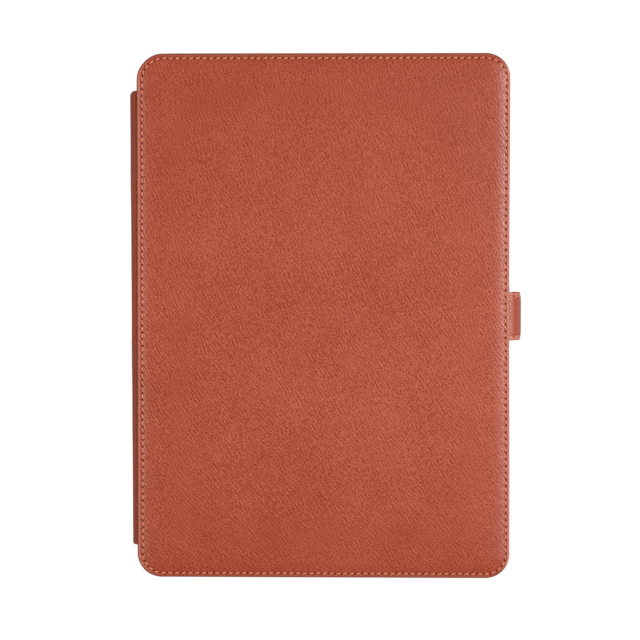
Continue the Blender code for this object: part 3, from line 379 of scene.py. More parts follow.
class Look:
    """A node material being put together."""

    def __init__(self, name):
        self.material = bpy.data.materials.new(name)
        self.material.use_nodes = True
        self.tree = self.material.node_tree
        self.shader = self.tree.nodes["Principled BSDF"]

    def add(self, kind, inputs=(), **settings):
        """A new node, with its settings and what goes into its inputs."""
        node = self.tree.nodes.new("ShaderNode" + kind)
        for key, value in settings.items():
            setattr(node, key, value)
        for key, value in dict(inputs).items():
            self.feed(node.inputs[key], value)
        return node

    def feed(self, socket, value):
        """Give an input another node's output, or a plain value."""
        if isinstance(value, bpy.types.NodeSocket):
            self.tree.links.new(value, socket)
        else:
            socket.default_value = value

    def set(self, **values):
        """Feed the surface's own inputs, and hand over the material."""
        for key, value in values.items():
            self.feed(self.shader.inputs[key.replace("_", " ")], value)
        return self.material

    def math(self, operation, first, second=0.0, third=0.0, clamp=False):
        inputs = enumerate((first, second, third))
        return self.add("Math", inputs, operation=operation, use_clamp=clamp).outputs[0]

    def times(self, first, second):
        return self.math("MULTIPLY", first, second)

    def place(self, turn=0.0, stretch=1.0, source=None):
        """Object coordinates, with features drawn out along Y and then turned about Z."""
        source = source or self.add("TexCoord").outputs["Object"]
        turned = (0.0, 0.0, math.radians(turn))
        inputs = {"Vector": source, "Rotation": turned, "Scale": (1.0, stretch, 1.0)}
        return self.add("Mapping", inputs, vector_type="TEXTURE").outputs[0]

    def axes(self, where=None):
        """The X and Y of some coordinates, or of the object itself."""
        split = self.add("SeparateXYZ", {0: where or self.place()})
        return split.outputs["X"], split.outputs["Y"]

    def sewing(self):
        """Distance along a seam and in from the edge."""
        return self.axes(self.add("UVMap", uv_map="sewing").outputs[0])

    def total(self, start, *terms):
        """start plus each (value, weight), where every value varies about a half."""
        result = start
        for value, weight in terms:
            result = self.math("MULTIPLY_ADD", value, weight, result)
            result = self.math("ADD", result, -0.5 * weight)
        return result

    def noise(self, where, scale, detail=2.0, roughness=0.5):
        inputs = {"Vector": where, "Scale": scale, "Detail": detail, "Roughness": roughness}
        return self.add("TexNoise", inputs).outputs["Fac"]

    def ripples(self, where, wavelength, lean, order):
        """Wrinkles of one width, between every way (order 0) and all one way (order 1)."""
        waves = 1.7
        inputs = {"Vector": where, "Scale": 1.0 / (waves * wavelength), "Frequency": waves}
        inputs |= {"Anisotropy": order, "Orientation": lean}
        return self.add("TexGabor", inputs, gabor_type="2D").outputs["Value"]

    def waves(self, scale, direction, distortion=0.0):
        """Straight bands, one to each repeat."""
        inputs = {"Vector": self.place(), "Scale": scale, "Distortion": distortion}
        node = self.add("TexWave", inputs, wave_type="BANDS", bands_direction=direction)
        return node.outputs["Fac"]

    def cells(self, where, scale):
        """Distance from the middle of the nearest of many scattered cells."""
        inputs = {"Vector": where, "Scale": scale}
        return self.add("TexVoronoi", inputs, feature="F1").outputs["Distance"]

    def step(self, value, low, high, out_low=0.0, out_high=1.0):
        """A smooth step from out_low to out_high as value goes from low to high."""
        inputs = enumerate((value, low, high, out_low, out_high))
        return self.add("MapRange", inputs, interpolation_type="SMOOTHSTEP").outputs[0]

    def near(self, value, centre, inner, outer):
        """One within inner of a centre value, fading to nothing at outer."""
        apart = self.math("ABSOLUTE", self.math("SUBTRACT", value, centre))
        return self.step(apart, inner, outer, 1.0, 0.0)

    def mix(self, share, first, second):
        """A colour between two, each a shade or another node's output."""
        ends = [(*end, 1.0) if isinstance(end, tuple) else end for end in (first, second)]
        return self.add("Mix", {0: share, 6: ends[0], 7: ends[1]}, data_type="RGBA").outputs[2]

    def bump(self, height, distance, strength, under=None):
        """A normal bent by a height, over an earlier one if there is one."""
        inputs = {"Height": height, "Distance": distance, "Strength": strength}
        if under is not None:
            inputs["Normal"] = under
        return self.add("Bump", inputs).outputs[0]

    def needle_holes(self, along, across, pitch):
        """One where the needle went through, and nothing elsewhere."""
        turns = self.math("FRACT", self.math("ADD", self.math("DIVIDE", along, pitch), 0.5))
        ahead = self.times(self.math("SUBTRACT", turns, 0.5), 2.0 * pitch / HOLE_LENGTH)
        aside = self.math("DIVIDE", across, HOLE_WIDTH / 2.0)
        apart = self.math("ADD", self.math("POWER", ahead, 2.0), self.math("POWER", aside, 2.0))
        return self.step(self.math("SQRT", apart), 0.6, 1.3, 1.0, 0.0)


# Shades, as linear red, green and blue.
TAN_DARK = (0.27, 0.022, 0.002)
TAN_LIGHT = (0.56, 0.122, 0.058)
# The spine's leather: darker than the cover's, as painted shade for a side turned from the lights.
SHADED_BROWN_DARK = (0.19, 0.018, 0.002)
SHADED_BROWN_LIGHT = (0.36, 0.058, 0.018)
LIP_HIGHLIGHT_AND_WEAR = (0.68, 0.25, 0.175)  # painted highlight on the lip's crest, with the dye rubbed thin
CREASE_SHADE = (0.12, 0.03, 0.018)
HOLE_SHADE = (0.11, 0.02, 0.008)
PAINT_LIGHT = (0.36, 0.095, 0.055)
PAINT_DARK = (0.22, 0.055, 0.03)
LIT_RUBBED_PAINT_LIGHT = (0.62, 0.29, 0.22)  # painted highlight on the edge paint along the fore edge, with the paint worn through
LIT_RUBBED_PAINT_DARK = (0.5, 0.2, 0.15)
SHEEN_TINT = (1.0, 0.9, 0.86, 1.0)

# The grain.
GRAIN_SIZE = 1.0 * MM
GRAIN_DEPTH = 0.035 * MM
GRAIN_TURN = 30.0  # degrees from upright, leaning to the left going up
GRAIN_SWING = -100.0  # how that changes over a metre up the cover
# How much its creases, crossing creases, ridges and pores show in the colour and the height.
GRAIN_TONE = (1.15, 0.7, 0.16, 2.2)
GRAIN_RELIEF = (0.45, 0.35, 0.15, 0.35)
# Painted shade, darker away from a place along the hide: that place, where it begins and ends, how much.
# On the cover, painted shade towards its top and bottom.
PANEL_PAINTED_SHADE = (-15.0 * MM, 20.0 * MM, 105.0 * MM, 0.26)
# On the tab, painted shade over the bend, which turns away from the lights.
TAB_PAINTED_SHADE = (0.0, 4.9 * MM, 5.9 * MM, 0.4)


def hide_grain(look, flat, along):
    """Fine creases that lie one way, crossed by shorter ones, with pores. All average a half."""
    lean = look.math("MULTIPLY_ADD", along, math.radians(GRAIN_SWING), math.radians(GRAIN_TURN))
    creases = look.ripples(flat, 1.2 * GRAIN_SIZE, lean, 0.9)
    crossing = look.ripples(flat, 0.9 * GRAIN_SIZE, look.math("ADD", lean, 0.5), 0.3)
    inputs = {"Vector": flat, "Angle": lean}
    turned = look.add("VectorRotate", inputs, rotation_type="Z_AXIS", invert=True)
    drawn = look.place(stretch=2.8, source=turned.outputs[0])
    ridges = look.near(look.noise(drawn, 1.25 / GRAIN_SIZE, 1.0, 0.6), 0.5, 0.0, 0.11)
    pores = look.noise(flat, 2.5 / GRAIN_SIZE, 1.0, 0.5)
    return creases, crossing, ridges, pores


def seam_wrinkles(look, along, edge, inset):
    """Short pulls in the hide that run in from the stitches."""
    width = look.math("DIVIDE", along, 1.5 * MM)
    length = look.math("DIVIDE", edge, 6.0 * MM)
    pulled = look.add("CombineXYZ", {0: width, 1: length}).outputs[0]
    fading = look.step(edge, inset, inset + 7.0 * MM, 1.0, 0.0)
    return look.times(look.noise(pulled, 1.0, 2.0, 0.5), fading)


def rim_shade_and_highlight(look, colour, dark, edge, inset):
    """Painted shade in the sewn channel, the groove and the crease at the cut edge, and a painted highlight, with
    some wear, on the lip's crest.
    """
    side, _ = look.axes()
    # The left and right edges, where the side lights fall and the cover is handled.
    lit_and_handled = look.step(look.math("ABSOLUTE", side), 0.94 * HALF_WIDTH, HALF_WIDTH - LIP_CREST)
    # Painted shade in the sewn channel and in the groove inside the lip.
    channel = look.near(edge, inset, 0.15 * MM, 0.7 * MM)
    colour = look.mix(look.times(channel, 0.22), colour, dark)
    groove = look.near(edge, LIP_GROOVE, 0.0, 0.28 * MM)
    colour = look.mix(look.times(groove, 0.4), colour, dark)
    # Painted shade in the crease at the cut edge, lighter at the lit left and right edges.
    rim = look.step(edge, 0.5 * MM, 0.8 * MM, 1.0, 0.0)
    crease_shade_mask = look.times(rim, look.math("MULTIPLY_ADD", lit_and_handled, -0.75, 0.75))
    colour = look.mix(crease_shade_mask, colour, CREASE_SHADE)
    # Painted highlight on the lip's crest, with some wear: brighter at the sides, most on the right, where the
    # strong softbox falls.
    crest = look.near(edge, LIP_CREST, 0.05 * MM, 0.35 * MM)
    fore_edge = look.step(side, 0.0, HALF_WIDTH, 0.3, 0.85)
    lightening = look.times(crest, look.math("MULTIPLY_ADD", lit_and_handled, fore_edge, 0.1))
    return look.mix(lightening, colour, LIP_HIGHLIGHT_AND_WEAR)


def leather(name, dark, light, painted_shading, seam=None, laid=None, contrast=1.0, rough=0.44,
            gloss=1.0, sheen=0.14):
    """Dyed hide.

    seam is the stitches' distance in from the edge, with their pitch. laid names the mesh layer
    that holds distances over the hide; without it the hide lies flat on X and Y.
    """
    look = Look(name)
    flat = look.add("UVMap", uv_map=laid).outputs[0] if laid else look.place()
    _, along = look.axes(flat)
    grain = hide_grain(look, flat, along)
    cloud = look.noise(look.place(turn=20.0), 60.0)
    patch = look.noise(look.place(), 18.0)
    tones = [contrast * tone for tone in GRAIN_TONE]
    share = look.total(0.46, *zip(grain, tones), (cloud, 0.3), (patch, 0.4))
    colour = look.mix(look.math("ADD", share, 0.0, clamp=True), dark, light)
    # Painted shade: darker away from a place along the hide.
    middle, starts, ends, amount = painted_shading
    away = look.math("ABSOLUTE", look.math("SUBTRACT", along, middle))
    colour = look.mix(look.step(away, starts, ends, 0.0, amount), colour, dark)
    height = look.total(0.5, *zip(grain, GRAIN_RELIEF))
    normal = look.bump(height, GRAIN_DEPTH, 0.9)
    roughness = look.step(height, 0.1, 0.9, rough + 0.07, rough - 0.05)
    specular = look.step(height, 0.2, 0.7, 0.3 * gloss, 0.75 * gloss)
    if seam:
        inset, pitch = seam
        sewn_along, edge = look.sewing()
        normal = look.bump(seam_wrinkles(look, sewn_along, edge, inset), 0.18 * MM, 0.5, normal)
        colour = rim_shade_and_highlight(look, colour, dark, edge, inset)
        hole = look.needle_holes(sewn_along, look.math("SUBTRACT", edge, inset), pitch)
        colour = look.mix(look.times(hole, 0.95), colour, HOLE_SHADE)
        unpierced = look.math("SUBTRACT", 1.0, hole)
        specular = look.times(specular, unpierced)
        sheen = look.times(unpierced, sheen)
    look.set(Base_Color=colour, Roughness=roughness, Normal=normal, Specular_IOR_Level=specular)
    return look.set(Sheen_Weight=sheen, Sheen_Roughness=0.35, Sheen_Tint=SHEEN_TINT)


def edge_paint():
    """The slightly rounded paint on a cut leather edge, lighter along the right edge as a painted highlight where
    the right softbox falls, and as paint worn through.
    """
    look = Look("edge_paint")
    uneven = look.noise(look.place(), 450.0, 3.0)
    side, _ = look.axes()
    # Painted highlight along the right edge, where the right softbox falls, with the paint rubbed thin.
    lit_and_handled = look.step(side, 0.97 * HALF_WIDTH, HALF_WIDTH, 0.0, 0.9)
    painted = look.mix(uneven, PAINT_LIGHT, PAINT_DARK)
    lit_rubbed_paint = look.mix(uneven, LIT_RUBBED_PAINT_LIGHT, LIT_RUBBED_PAINT_DARK)
    normal = look.bump(look.noise(look.place(), 900.0), 0.1 * MM, 0.6)
    roughness = look.step(uneven, 0.3, 0.7, 0.38, 0.52)
    look.set(Base_Color=look.mix(lit_and_handled, painted, lit_rubbed_paint), Roughness=roughness, Normal=normal)
    return look.set(Specular_IOR_Level=0.3)


def thread():
    """Waxed polyester thread, with its twist showing as a fine slant."""
    look = Look("thread")
    fibre = look.waves(900.0, "DIAGONAL", 1.5)
    vary = look.noise(look.place(), 260.0)
    colour = look.mix(vary, (0.86, 0.34, 0.19), (0.66, 0.22, 0.115))
    colour = look.mix(look.times(fibre, 0.2), colour, (0.82, 0.36, 0.22))
    return look.set(Base_Color=colour, Roughness=0.5, Normal=look.bump(fibre, 0.08 * MM, 0.7))


def suede():
    """Microfibre lining: a short nap with faint brushed patches and a weave under it."""
    look = Look("suede")
    nap = look.noise(look.place(), 2600.0, 3.0, 0.7)
    brushed = look.noise(look.place(turn=25.0, stretch=3.0), 60.0, 3.0)
    colour = look.mix(brushed, (0.3, 0.205, 0.14), (0.42, 0.3, 0.21))
    colour = look.mix(look.times(nap, 0.4), colour, (0.2, 0.13, 0.085))
    look.set(Base_Color=colour, Roughness=0.95, Normal=look.bump(nap, 0.12 * MM, 0.7))
    return look.set(Sheen_Weight=0.35, Sheen_Roughness=0.4, Specular_IOR_Level=0.15)


def moulded(name, colour, rough, texture, depth):
    """Injection-moulded plastic with a fine spark texture."""
    look = Look(name)
    spark = look.noise(look.place(), texture, 4.0, 0.65)
    lightening = look.noise(look.place(), 35.0, 3.0)
    lighter = tuple(channel * 1.35 + 0.004 for channel in colour)
    shade = look.mix(look.times(lightening, 0.6), colour, lighter)
    roughness = look.step(lightening, 0.3, 0.7, rough - 0.05, rough + 0.06)
    return look.set(Base_Color=shade, Roughness=roughness, Normal=look.bump(spark, depth, 0.6))


def metal(name, colour, rough, turn):
    """Sheet metal with a directional brushed grain."""
    look = Look(name)
    brushed = look.noise(look.place(turn=turn, stretch=30.0), 2400.0, 3.0, 0.6)
    smudge = look.noise(look.place(), 90.0, 3.0)
    darker = tuple(channel * 0.78 for channel in colour)
    roughness = look.step(smudge, 0.3, 0.7, rough - 0.06, rough + 0.1)
    look.set(Base_Color=look.mix(brushed, darker, colour), Metallic=1.0, Roughness=roughness)
    return look.set(Normal=look.bump(brushed, 0.02 * MM, 0.4))


def card():
    """Grey fibre board with flecks."""
    look = Look("fibre_board")
    fleck = look.step(look.noise(look.place(), 900.0, 4.0, 0.7), 0.45, 0.62)
    colour = look.mix(fleck, (0.26, 0.24, 0.21), (0.42, 0.39, 0.34))
    return look.set(Base_Color=colour, Roughness=0.92, Normal=look.bump(fleck, 0.06 * MM, 0.5))


def circuit_board():
    """Green solder mask over copper tracks, with tinned pads."""
    look = Look("circuit_board")
    place = look.place()
    inputs = {"Vector": place, "Scale": 260.0, "Mortar Size": 0.035}
    inputs |= {"Color1": (0.012, 0.09, 0.035, 1.0), "Color2": (0.015, 0.11, 0.045, 1.0)}
    inputs["Mortar"] = (0.03, 0.2, 0.08, 1.0)
    track = look.add("TexBrick", inputs).outputs["Color"]
    pad = look.step(look.cells(place, 230.0), 0.1, 0.16, 1.0, 0.0)
    colour = look.mix(pad, track, (0.62, 0.6, 0.55))
    look.set(Base_Color=colour, Metallic=pad, Roughness=0.4)
    return look.set(Normal=look.bump(pad, 0.04 * MM, 0.5))


def film():
    """Amber polyimide cable with its copper lines just showing."""
    look = Look("polyimide_film")
    lines = look.waves(420.0, "X")
    colour = look.mix(look.times(lines, 0.6), (0.42, 0.17, 0.02), (0.6, 0.28, 0.07))
    return look.set(Base_Color=colour, Roughness=0.32, Normal=look.bump(lines, 0.02 * MM, 0.4))


def paper_display():
    """The resting e-paper: warm grey with a very fine capsule grain."""
    look = Look("epaper")
    capsule = look.noise(look.place(), 5200.0, 2.0, 0.7)
    cast = look.noise(look.place(), 14.0)
    colour = look.mix(capsule, (0.53, 0.54, 0.5), (0.64, 0.645, 0.6))
    colour = look.mix(look.times(cast, 0.15), colour, (0.6, 0.58, 0.52))
    return look.set(Base_Color=colour, Roughness=0.75, Normal=look.bump(capsule, 0.01 * MM, 0.3))


def anti_glare_glass():
    """The touch glass: clear, with an etched, softly scattering face."""
    look = Look("touch_glass")
    etch = look.noise(look.place(), 4200.0, 2.0, 0.7)
    look.set(Base_Color=(0.97, 0.98, 0.97, 1.0), Roughness=look.step(etch, 0.3, 0.7, 0.14, 0.22))
    return look.set(Alpha=0.16, Normal=look.bump(etch, 0.01 * MM, 0.3))


def acrylic():
    """The light guide: clear, with rows of tiny frosted dots."""
    look = Look("clear_acrylic")
    dots = look.step(look.cells(look.place(), 900.0), 0.1, 0.2, 1.0, 0.0)
    colour = look.mix(dots, (0.9, 0.92, 0.93), (1.0, 1.0, 1.0))
    return look.set(Base_Color=colour, Roughness=0.08, Alpha=0.12)


# ---- the look of each slot

TAB_SEAM_INSET = 1.5 * MM

COVER_HIDE = leather(
    "cover_leather", TAN_DARK, TAN_LIGHT, PANEL_PAINTED_SHADE, seam=(SEAM_INSET, SEAM_PITCH)
)
SPINE_HIDE = leather(
    "spine_leather", SHADED_BROWN_DARK, SHADED_BROWN_LIGHT, PANEL_PAINTED_SHADE, laid="surface",
    contrast=0.6, rough=0.55, gloss=0.5, sheen=1.0,
)
TAB_HIDE = leather(
    "tab_leather", TAN_DARK, TAN_LIGHT, TAB_PAINTED_SHADE, seam=(TAB_SEAM_INSET, PITCH),
    laid="surface", contrast=0.6,
)
PAINT = edge_paint()
THREAD = thread()
SUEDE = suede()
SLOTS = {
    "tan_leather": COVER_HIDE,
    "brown_leather": SPINE_HIDE,
    "tab_leather": TAB_HIDE,
    "fibre_board": card(),
    "suede_lining": SUEDE,
    "touch_glass": anti_glare_glass(),
    "clear_acrylic": acrylic(),
    "epaper": paper_display(),
    "circuit_board": circuit_board(),
    "polyimide_film": film(),
}
MOULDED = {
    "black_plastic": ((0.022, 0.022, 0.025), 0.48, 1800.0, 0.03 * MM),
    "tray_plastic": ((0.045, 0.024, 0.017), 0.62, 1300.0, 0.05 * MM),
    "key_plastic": ((0.04, 0.04, 0.045), 0.34, 2600.0, 0.01 * MM),
    "chip_resin": ((0.018, 0.018, 0.02), 0.6, 3000.0, 0.03 * MM),
}
METALS = {
    "steel": ((0.62, 0.62, 0.64), 0.28, 0.0),
    "nickel_magnet": ((0.72, 0.7, 0.66), 0.22, 90.0),
    "aluminium": ((0.82, 0.82, 0.84), 0.36, 90.0),
    "battery_foil": ((0.58, 0.58, 0.6), 0.34, 45.0),
}
SLOTS |= {name: moulded(name, *finish) for name, finish in MOULDED.items()}
SLOTS |= {name: metal(name, *finish) for name, finish in METALS.items()}
EDGE_RADIUS = {
    "black_plastic": 0.25 * MM,
    "tray_plastic": 0.3 * MM,
    "key_plastic": 0.15 * MM,
    "steel": 0.06 * MM,
}
SHARP_TURN = math.radians(35.0)


def dress(obj, *materials):
    """Give a mesh its materials, in the order that its faces number them."""
    obj.data.materials.clear()
    for material in materials:
        obj.data.materials.append(material)
    return obj


def round_shading():
    """Nodes that shade a mesh smooth, but keep the edges that turn sharply."""
    group = bpy.data.node_groups.new("round_shading", "GeometryNodeTree")
    for direction in ("INPUT", "OUTPUT"):
        group.interface.new_socket("Geometry", in_out=direction, socket_type="NodeSocketGeometry")
    start, finish = (group.nodes.new(kind) for kind in ("NodeGroupInput", "NodeGroupOutput"))
    faces, edges = (group.nodes.new("GeometryNodeSetShadeSmooth") for _ in range(2))
    turn = group.nodes.new("GeometryNodeInputMeshEdgeAngle")
    gentle = group.nodes.new("FunctionNodeCompare")
    edges.domain = "EDGE"
    gentle.operation = "LESS_THAN"
    gentle.inputs[1].default_value = SHARP_TURN
    group.links.new(turn.outputs["Unsigned Angle"], gentle.inputs[0])
    group.links.new(gentle.outputs[0], edges.inputs["Shade Smooth"])
    for node, following in ((start, faces), (faces, edges), (edges, finish)):
        group.links.new(node.outputs[0], following.inputs[0])
    return group


def dress_frame():
    """Give every carried-over CAD node the look of its slot, and break its moulded edges.

    The broken edges are shaded round, and the flat faces between them stay level.
    """
    slot_of = {part["node"]: part["material_slot"] for part in frame["record"]["subparts"]}
    shading = round_shading()
    for name, obj in frame["nodes"].items():
        slot = slot_of[name]
        for material_slot in obj.material_slots:
            material_slot.link = "OBJECT"
            material_slot.material = SLOTS[slot]
        weld = obj.modifiers.new("weld", "WELD")
        weld.merge_threshold = 0.001 * MM
        if slot in EDGE_RADIUS:
            bevel = obj.modifiers.new("edge", "BEVEL")
            bevel.width = EDGE_RADIUS[slot]
            bevel.segments = 3
            bevel.limit_method = "ANGLE"
            bevel.angle_limit = SHARP_TURN
            bevel.face_strength_mode = "FSTR_ALL"
        smooth = obj.modifiers.new("shading", "NODES")
        smooth.node_group = shading
        if slot in EDGE_RADIUS:
            level = obj.modifiers.new("level", "WEIGHTED_NORMAL")
            level.use_face_influence = True
            level.keep_sharp = True


# ---- the two covers


def leather_profile():
    """Heights over a cover's mid plane: lip, sewn channel, then the padding's slope."""
    lip = ((0.38, 0.5), (0.42, 0.28), (0.5, 0.12), (0.64, 0.02), (0.8, 0.0), (0.96, 0.05))
    profile = offsets(0.0, RIM_HALF, lip)
    profile.append((LIP_GROOVE, RIM_HALF - 0.2 * MM))
    profile += offsets(0.0, RIM_HALF, ((1.34, 0.1), (1.54, 0.13)))
    profile += [(SEAM_INSET, SEAT), (2.02 * MM, SEAT + 0.06 * MM)]
    top = RIM_HALF + CROWN
    first = 2.3 * MM
    spread = np.linspace(0.0, 1.0, 16) ** 1.7  # close together at first
    for inset in first + (CORNER - first) * spread:
        slope = 1.0 - math.exp(-(inset - SEAM_INSET) / PUFF_REACH)
        profile.append((float(inset), SEAT + (top - SEAT) * slope))
    return profile


def lining_profile():
    """Heights over a cover's mid plane on its inside: a thin lining sewn down at the rim."""
    lip = RIM_HALF - 0.06 * MM
    profile = offsets(0.0, lip, ((0.45, 0.4), (0.55, 0.1), (0.9, 0.0), (1.3, 0.04)))
    profile.append((SEAM_INSET, SEAT))
    profile += offsets(0.0, lip, ((2.2, 0.05), (3.0, 0.0)))
    return profile + [(5.5 * MM, RIM_HALF), (CORNER, RIM_HALF)]


def rim_section():
    """The painted edge: a shallow bead over the cut layers."""
    top = RIM_HALF - 0.12 * MM
    upper = [
        (0.7 * MM, 0.8 * top),
        (0.5 * MM, top),
        (0.28 * MM, 0.97 * top),
        (0.1 * MM, 0.78 * top),
        (0.02 * MM, 0.4 * top),
    ]
    lower = [(inset, -height) for inset, height in reversed(upper)]
    return [(0.72 * MM, 0.0), *upper, (0.0, 0.0), *lower]


def build_cover(body, mid_z, side, dome):
    """A sewn cover: hide outside, suede inside, painted edge, and stitches on both faces."""
    hide = cover_sheet(f"{body}_hide", leather_profile(), mid_z, side, dome, 0.11 * MM)
    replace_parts(dress(hide, COVER_HIDE), f"{body}_leather")
    cloth = cover_sheet(f"{body}_suede", lining_profile(), mid_z, -side, 0.0, 0.04 * MM)
    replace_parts(dress(cloth, SUEDE), f"{body}_lining")
    rim = dress(swept_rim(f"{body}_rim", rim_section(), mid_z, side), PAINT)
    outside = seam_stitches(f"{body}_stitches", SEAT, mid_z, side)
    inside = seam_stitches(f"{body}_inner_stitches", SEAT + 0.03 * MM, mid_z, -side)
    for piece in (hide, cloth, rim, dress(outside, THREAD), dress(inside, THREAD)):
        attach(piece, body)


# ---- the spine

SPINE_THICK = 1.1 * MM
SPINE_FOOT = SPINE_LOW[1] - 0.35 * MM
SPINE_HEAD = SPINE_HIGH[1] + 0.5 * MM
SPINE_MIDDLE = (SPINE_LOW[2] + SPINE_HIGH[2]) / 2.0
SPINE_END_ROUND = 2.0 * MM
SPINE_POINTS = 26  # on each face, from the seam to the middle
OUTSIDE, INSIDE, CUT_EDGE = range(3)  # the spine's three materials


def eased_path(points, count):
    """Evenly spaced points, with their normals, on a smooth line through a few points."""
    points = np.array(points, float)
    knots = distances(points)
    slopes = np.gradient(points, knots, axis=0)
    where = np.linspace(0.0, knots[-1], count)
    index = np.clip(np.searchsorted(knots, where, side="right") - 1, 0, len(knots) - 2)
    span = (knots[index + 1] - knots[index])[:, None]
    t = (where - knots[index])[:, None] / span
    smooth = (
        (2 * t**3 - 3 * t**2 + 1) * points[index]
        + (t**3 - 2 * t**2 + t) * span * slopes[index]
        + (3 * t**2 - 2 * t**3) * points[index + 1]
        + (t**3 - t**2) * span * slopes[index + 1]
    )
    forward = np.gradient(smooth, axis=0)
    forward /= np.linalg.norm(forward, axis=1)[:, None]
    normal = np.column_stack([forward[:, 1], -forward[:, 0]])
    return smooth, normal


def spine_rows():
    """Places along the spine, close together round its two ends."""
    rounding = SPINE_END_ROUND * (1.0 - np.cos(np.linspace(0.0, QUARTER, 9)))
    straight = np.linspace(SPINE_FOOT + SPINE_END_ROUND, SPINE_HEAD - SPINE_END_ROUND, 90)
    return np.concatenate([SPINE_FOOT + rounding, straight[1:-1], SPINE_HEAD - rounding[::-1]])


def spine_row(y, fold_z, side):
    """X and Z along the outside, from the middle to the seam, and back along the inside."""
    lean = 1.8 * MM + 0.75 * MM * (y - SPINE_FOOT) / (SPINE_HEAD - SPINE_FOOT)
    foot = min((y - SPINE_FOOT) / (0.7 * MM), 1.0)
    head = min((SPINE_HEAD - y) / SPINE_END_ROUND, 1.0)
    fullness = math.sqrt(max(1.0 - (1.0 - min(foot, head)) ** 2, 0.0))
    reach = 0.35 * MM + (lean - SPINE_THICK / 2.0 - 0.2 * MM) * fullness
    wave = 0.05 * MM * math.sin(y / (13.0 * MM)) + 0.04 * MM * math.sin(y / (5.1 * MM) + 1.0)
    edge = -HALF_WIDTH
    path = [
        (edge + 2.6 * MM, fold_z),
        (edge + 0.6 * MM, fold_z),
        (edge - 0.35 * reach, fold_z - side * 0.08 * MM),
        (edge - 0.86 * reach, fold_z - side * 0.9 * MM),
        (edge - reach + wave * 0.3, fold_z - side * 2.3 * MM),
        (edge - reach - 0.1 * MM + wave, (fold_z + SPINE_MIDDLE) / 2.0),
        (edge - reach - 0.12 * MM + wave, SPINE_MIDDLE),
    ]
    line, normal = eased_path(path, SPINE_POINTS)
    thinned = np.clip(np.arange(SPINE_POINTS) / 6.0, 0.45, 1.0)[:, None]  # skived where it is sewn
    half = normal * side * thinned * SPINE_THICK / 2.0
    outer = line + half
    inner = line - half
    if outer[-1, 0] > inner[-1, 0]:
        outer, inner = inner, outer
    return np.concatenate([outer[::-1], inner])


def spine_faces(ys):
    """The spine's faces, row by row and then its two ends, and the material of each."""
    length = 2 * SPINE_POINTS
    last = len(ys) - 1
    faces = []
    kinds = []
    for row in range(last):
        from_end = min(ys[row] - SPINE_FOOT, SPINE_HEAD - ys[row + 1])
        for k in range(length - 1):
            a = row * length + k
            faces.append((a, a + 1, a + 1 + length, a + length))
            face_kind = OUTSIDE if k < SPINE_POINTS else INSIDE
            kinds.append(CUT_EDGE if from_end < 0.3 * MM else face_kind)
    for row in (0, last):
        for k in range(SPINE_POINTS - 1):
            a = row * length + k
            b = row * length + length - 1 - k
            face = (a, a + 1, b - 1, b)
            faces.append(face[::-1] if row == 0 else face)
            kinds.append(CUT_EDGE)
    return faces, kinds


def spine_half(name, fold_z, side):
    """From a cover's seam, round its fold, to the middle of the spine."""
    ys = spine_rows()
    vertices = []
    surface = []
    for y in ys:
        row = spine_row(y, fold_z, side)
        level = np.full(len(row), y)
        vertices.append(np.column_stack([row[:, 0], level, row[:, 1]]))
        surface.append(np.column_stack([side * distances(row), level]))
    faces, kinds = spine_faces(ys)
    if side < 0:
        faces = [face[::-1] for face in faces]
    corners = [corner for face in faces for corner in face]
    laid = np.concatenate(surface)[corners]
    piece = make_mesh(name, np.concatenate(vertices), faces, surface=laid)
    dress(piece, SPINE_HIDE, SUEDE, PAINT)
    piece.data.polygons.foreach_set("material_index", kinds)
    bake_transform(piece)
    return piece


def build_spine():
    """The spine strip, in two halves that each bend into a cover."""
    upper = spine_half("spine_front_half", FRONT_FOLD[2], 1.0)
    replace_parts(upper, "spine_leather", "spine_lining", "spine_front_flap")
    lower = spine_half("spine_back_half", BACK_FOLD[2], -1.0)
    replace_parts(lower, "spine_back_flap")


# ---- the closure tab

TAB_HALF = (TAB_HIGH[1] - TAB_LOW[1]) / 2.0 - 0.2 * MM
TAB_MIDDLE = (TAB_HIGH[1] + TAB_LOW[1]) / 2.0 + 0.4 * MM
TAB_CORNER = 4.0 * MM
TAB_STATIONS = 64  # along its middle line
# Thickness at places along the tab: thin at the sewn rim, full over the filler.
TAB_PLACES = np.array([0.0, 3.0, 8.5, 11.0, 13.0]) * MM
TAB_THICKS = np.array([0.9, 1.0, 1.85, 2.1, 2.35]) * MM


def tab_line():
    """The tab's middle surface in X and Z, from inside the cover to its free end."""
    hang_x = TAB_HIGH[0] - 1.1 * MM
    magnet_low, magnet_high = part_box("closure_tab_magnet")
    end_x = (magnet_low[0] + magnet_high[0]) / 2.0
    fold_z = TAB_FOLD[2]
    bend = ((-3.6, 0.0), (-1.4, 0.02), (-0.4, 0.18), (0.4, 0.5), (1.1, 0.96), (1.7, 1.6))
    path = offsets(HALF_WIDTH, fold_z, (*bend, (2.3, 2.6), (2.85, 3.9)))
    path += offsets(hang_x, fold_z, ((-0.05, 5.4), (-0.3, 6.8)))
    path += offsets(end_x, fold_z, ((0.45, 8.6), (0.0, 10.4)))
    path.append((end_x, TAB_LOW[2]))
    line, normal = eased_path(path, TAB_STATIONS)
    return line, -normal


TAB_PATH, TAB_NORMAL = tab_line()
TAB_RUN = distances(TAB_PATH)
TAB_LENGTH = TAB_RUN[-1]


def tab_half_width(run):
    """Half the tab's width at a distance along it, with its free end's corners rounded."""
    past = np.clip(TAB_CORNER - (TAB_LENGTH - run), 0.0, TAB_CORNER)
    shoulder = np.sqrt(np.maximum(TAB_CORNER**2 - past**2, 0.0))
    return TAB_HALF - TAB_CORNER + shoulder


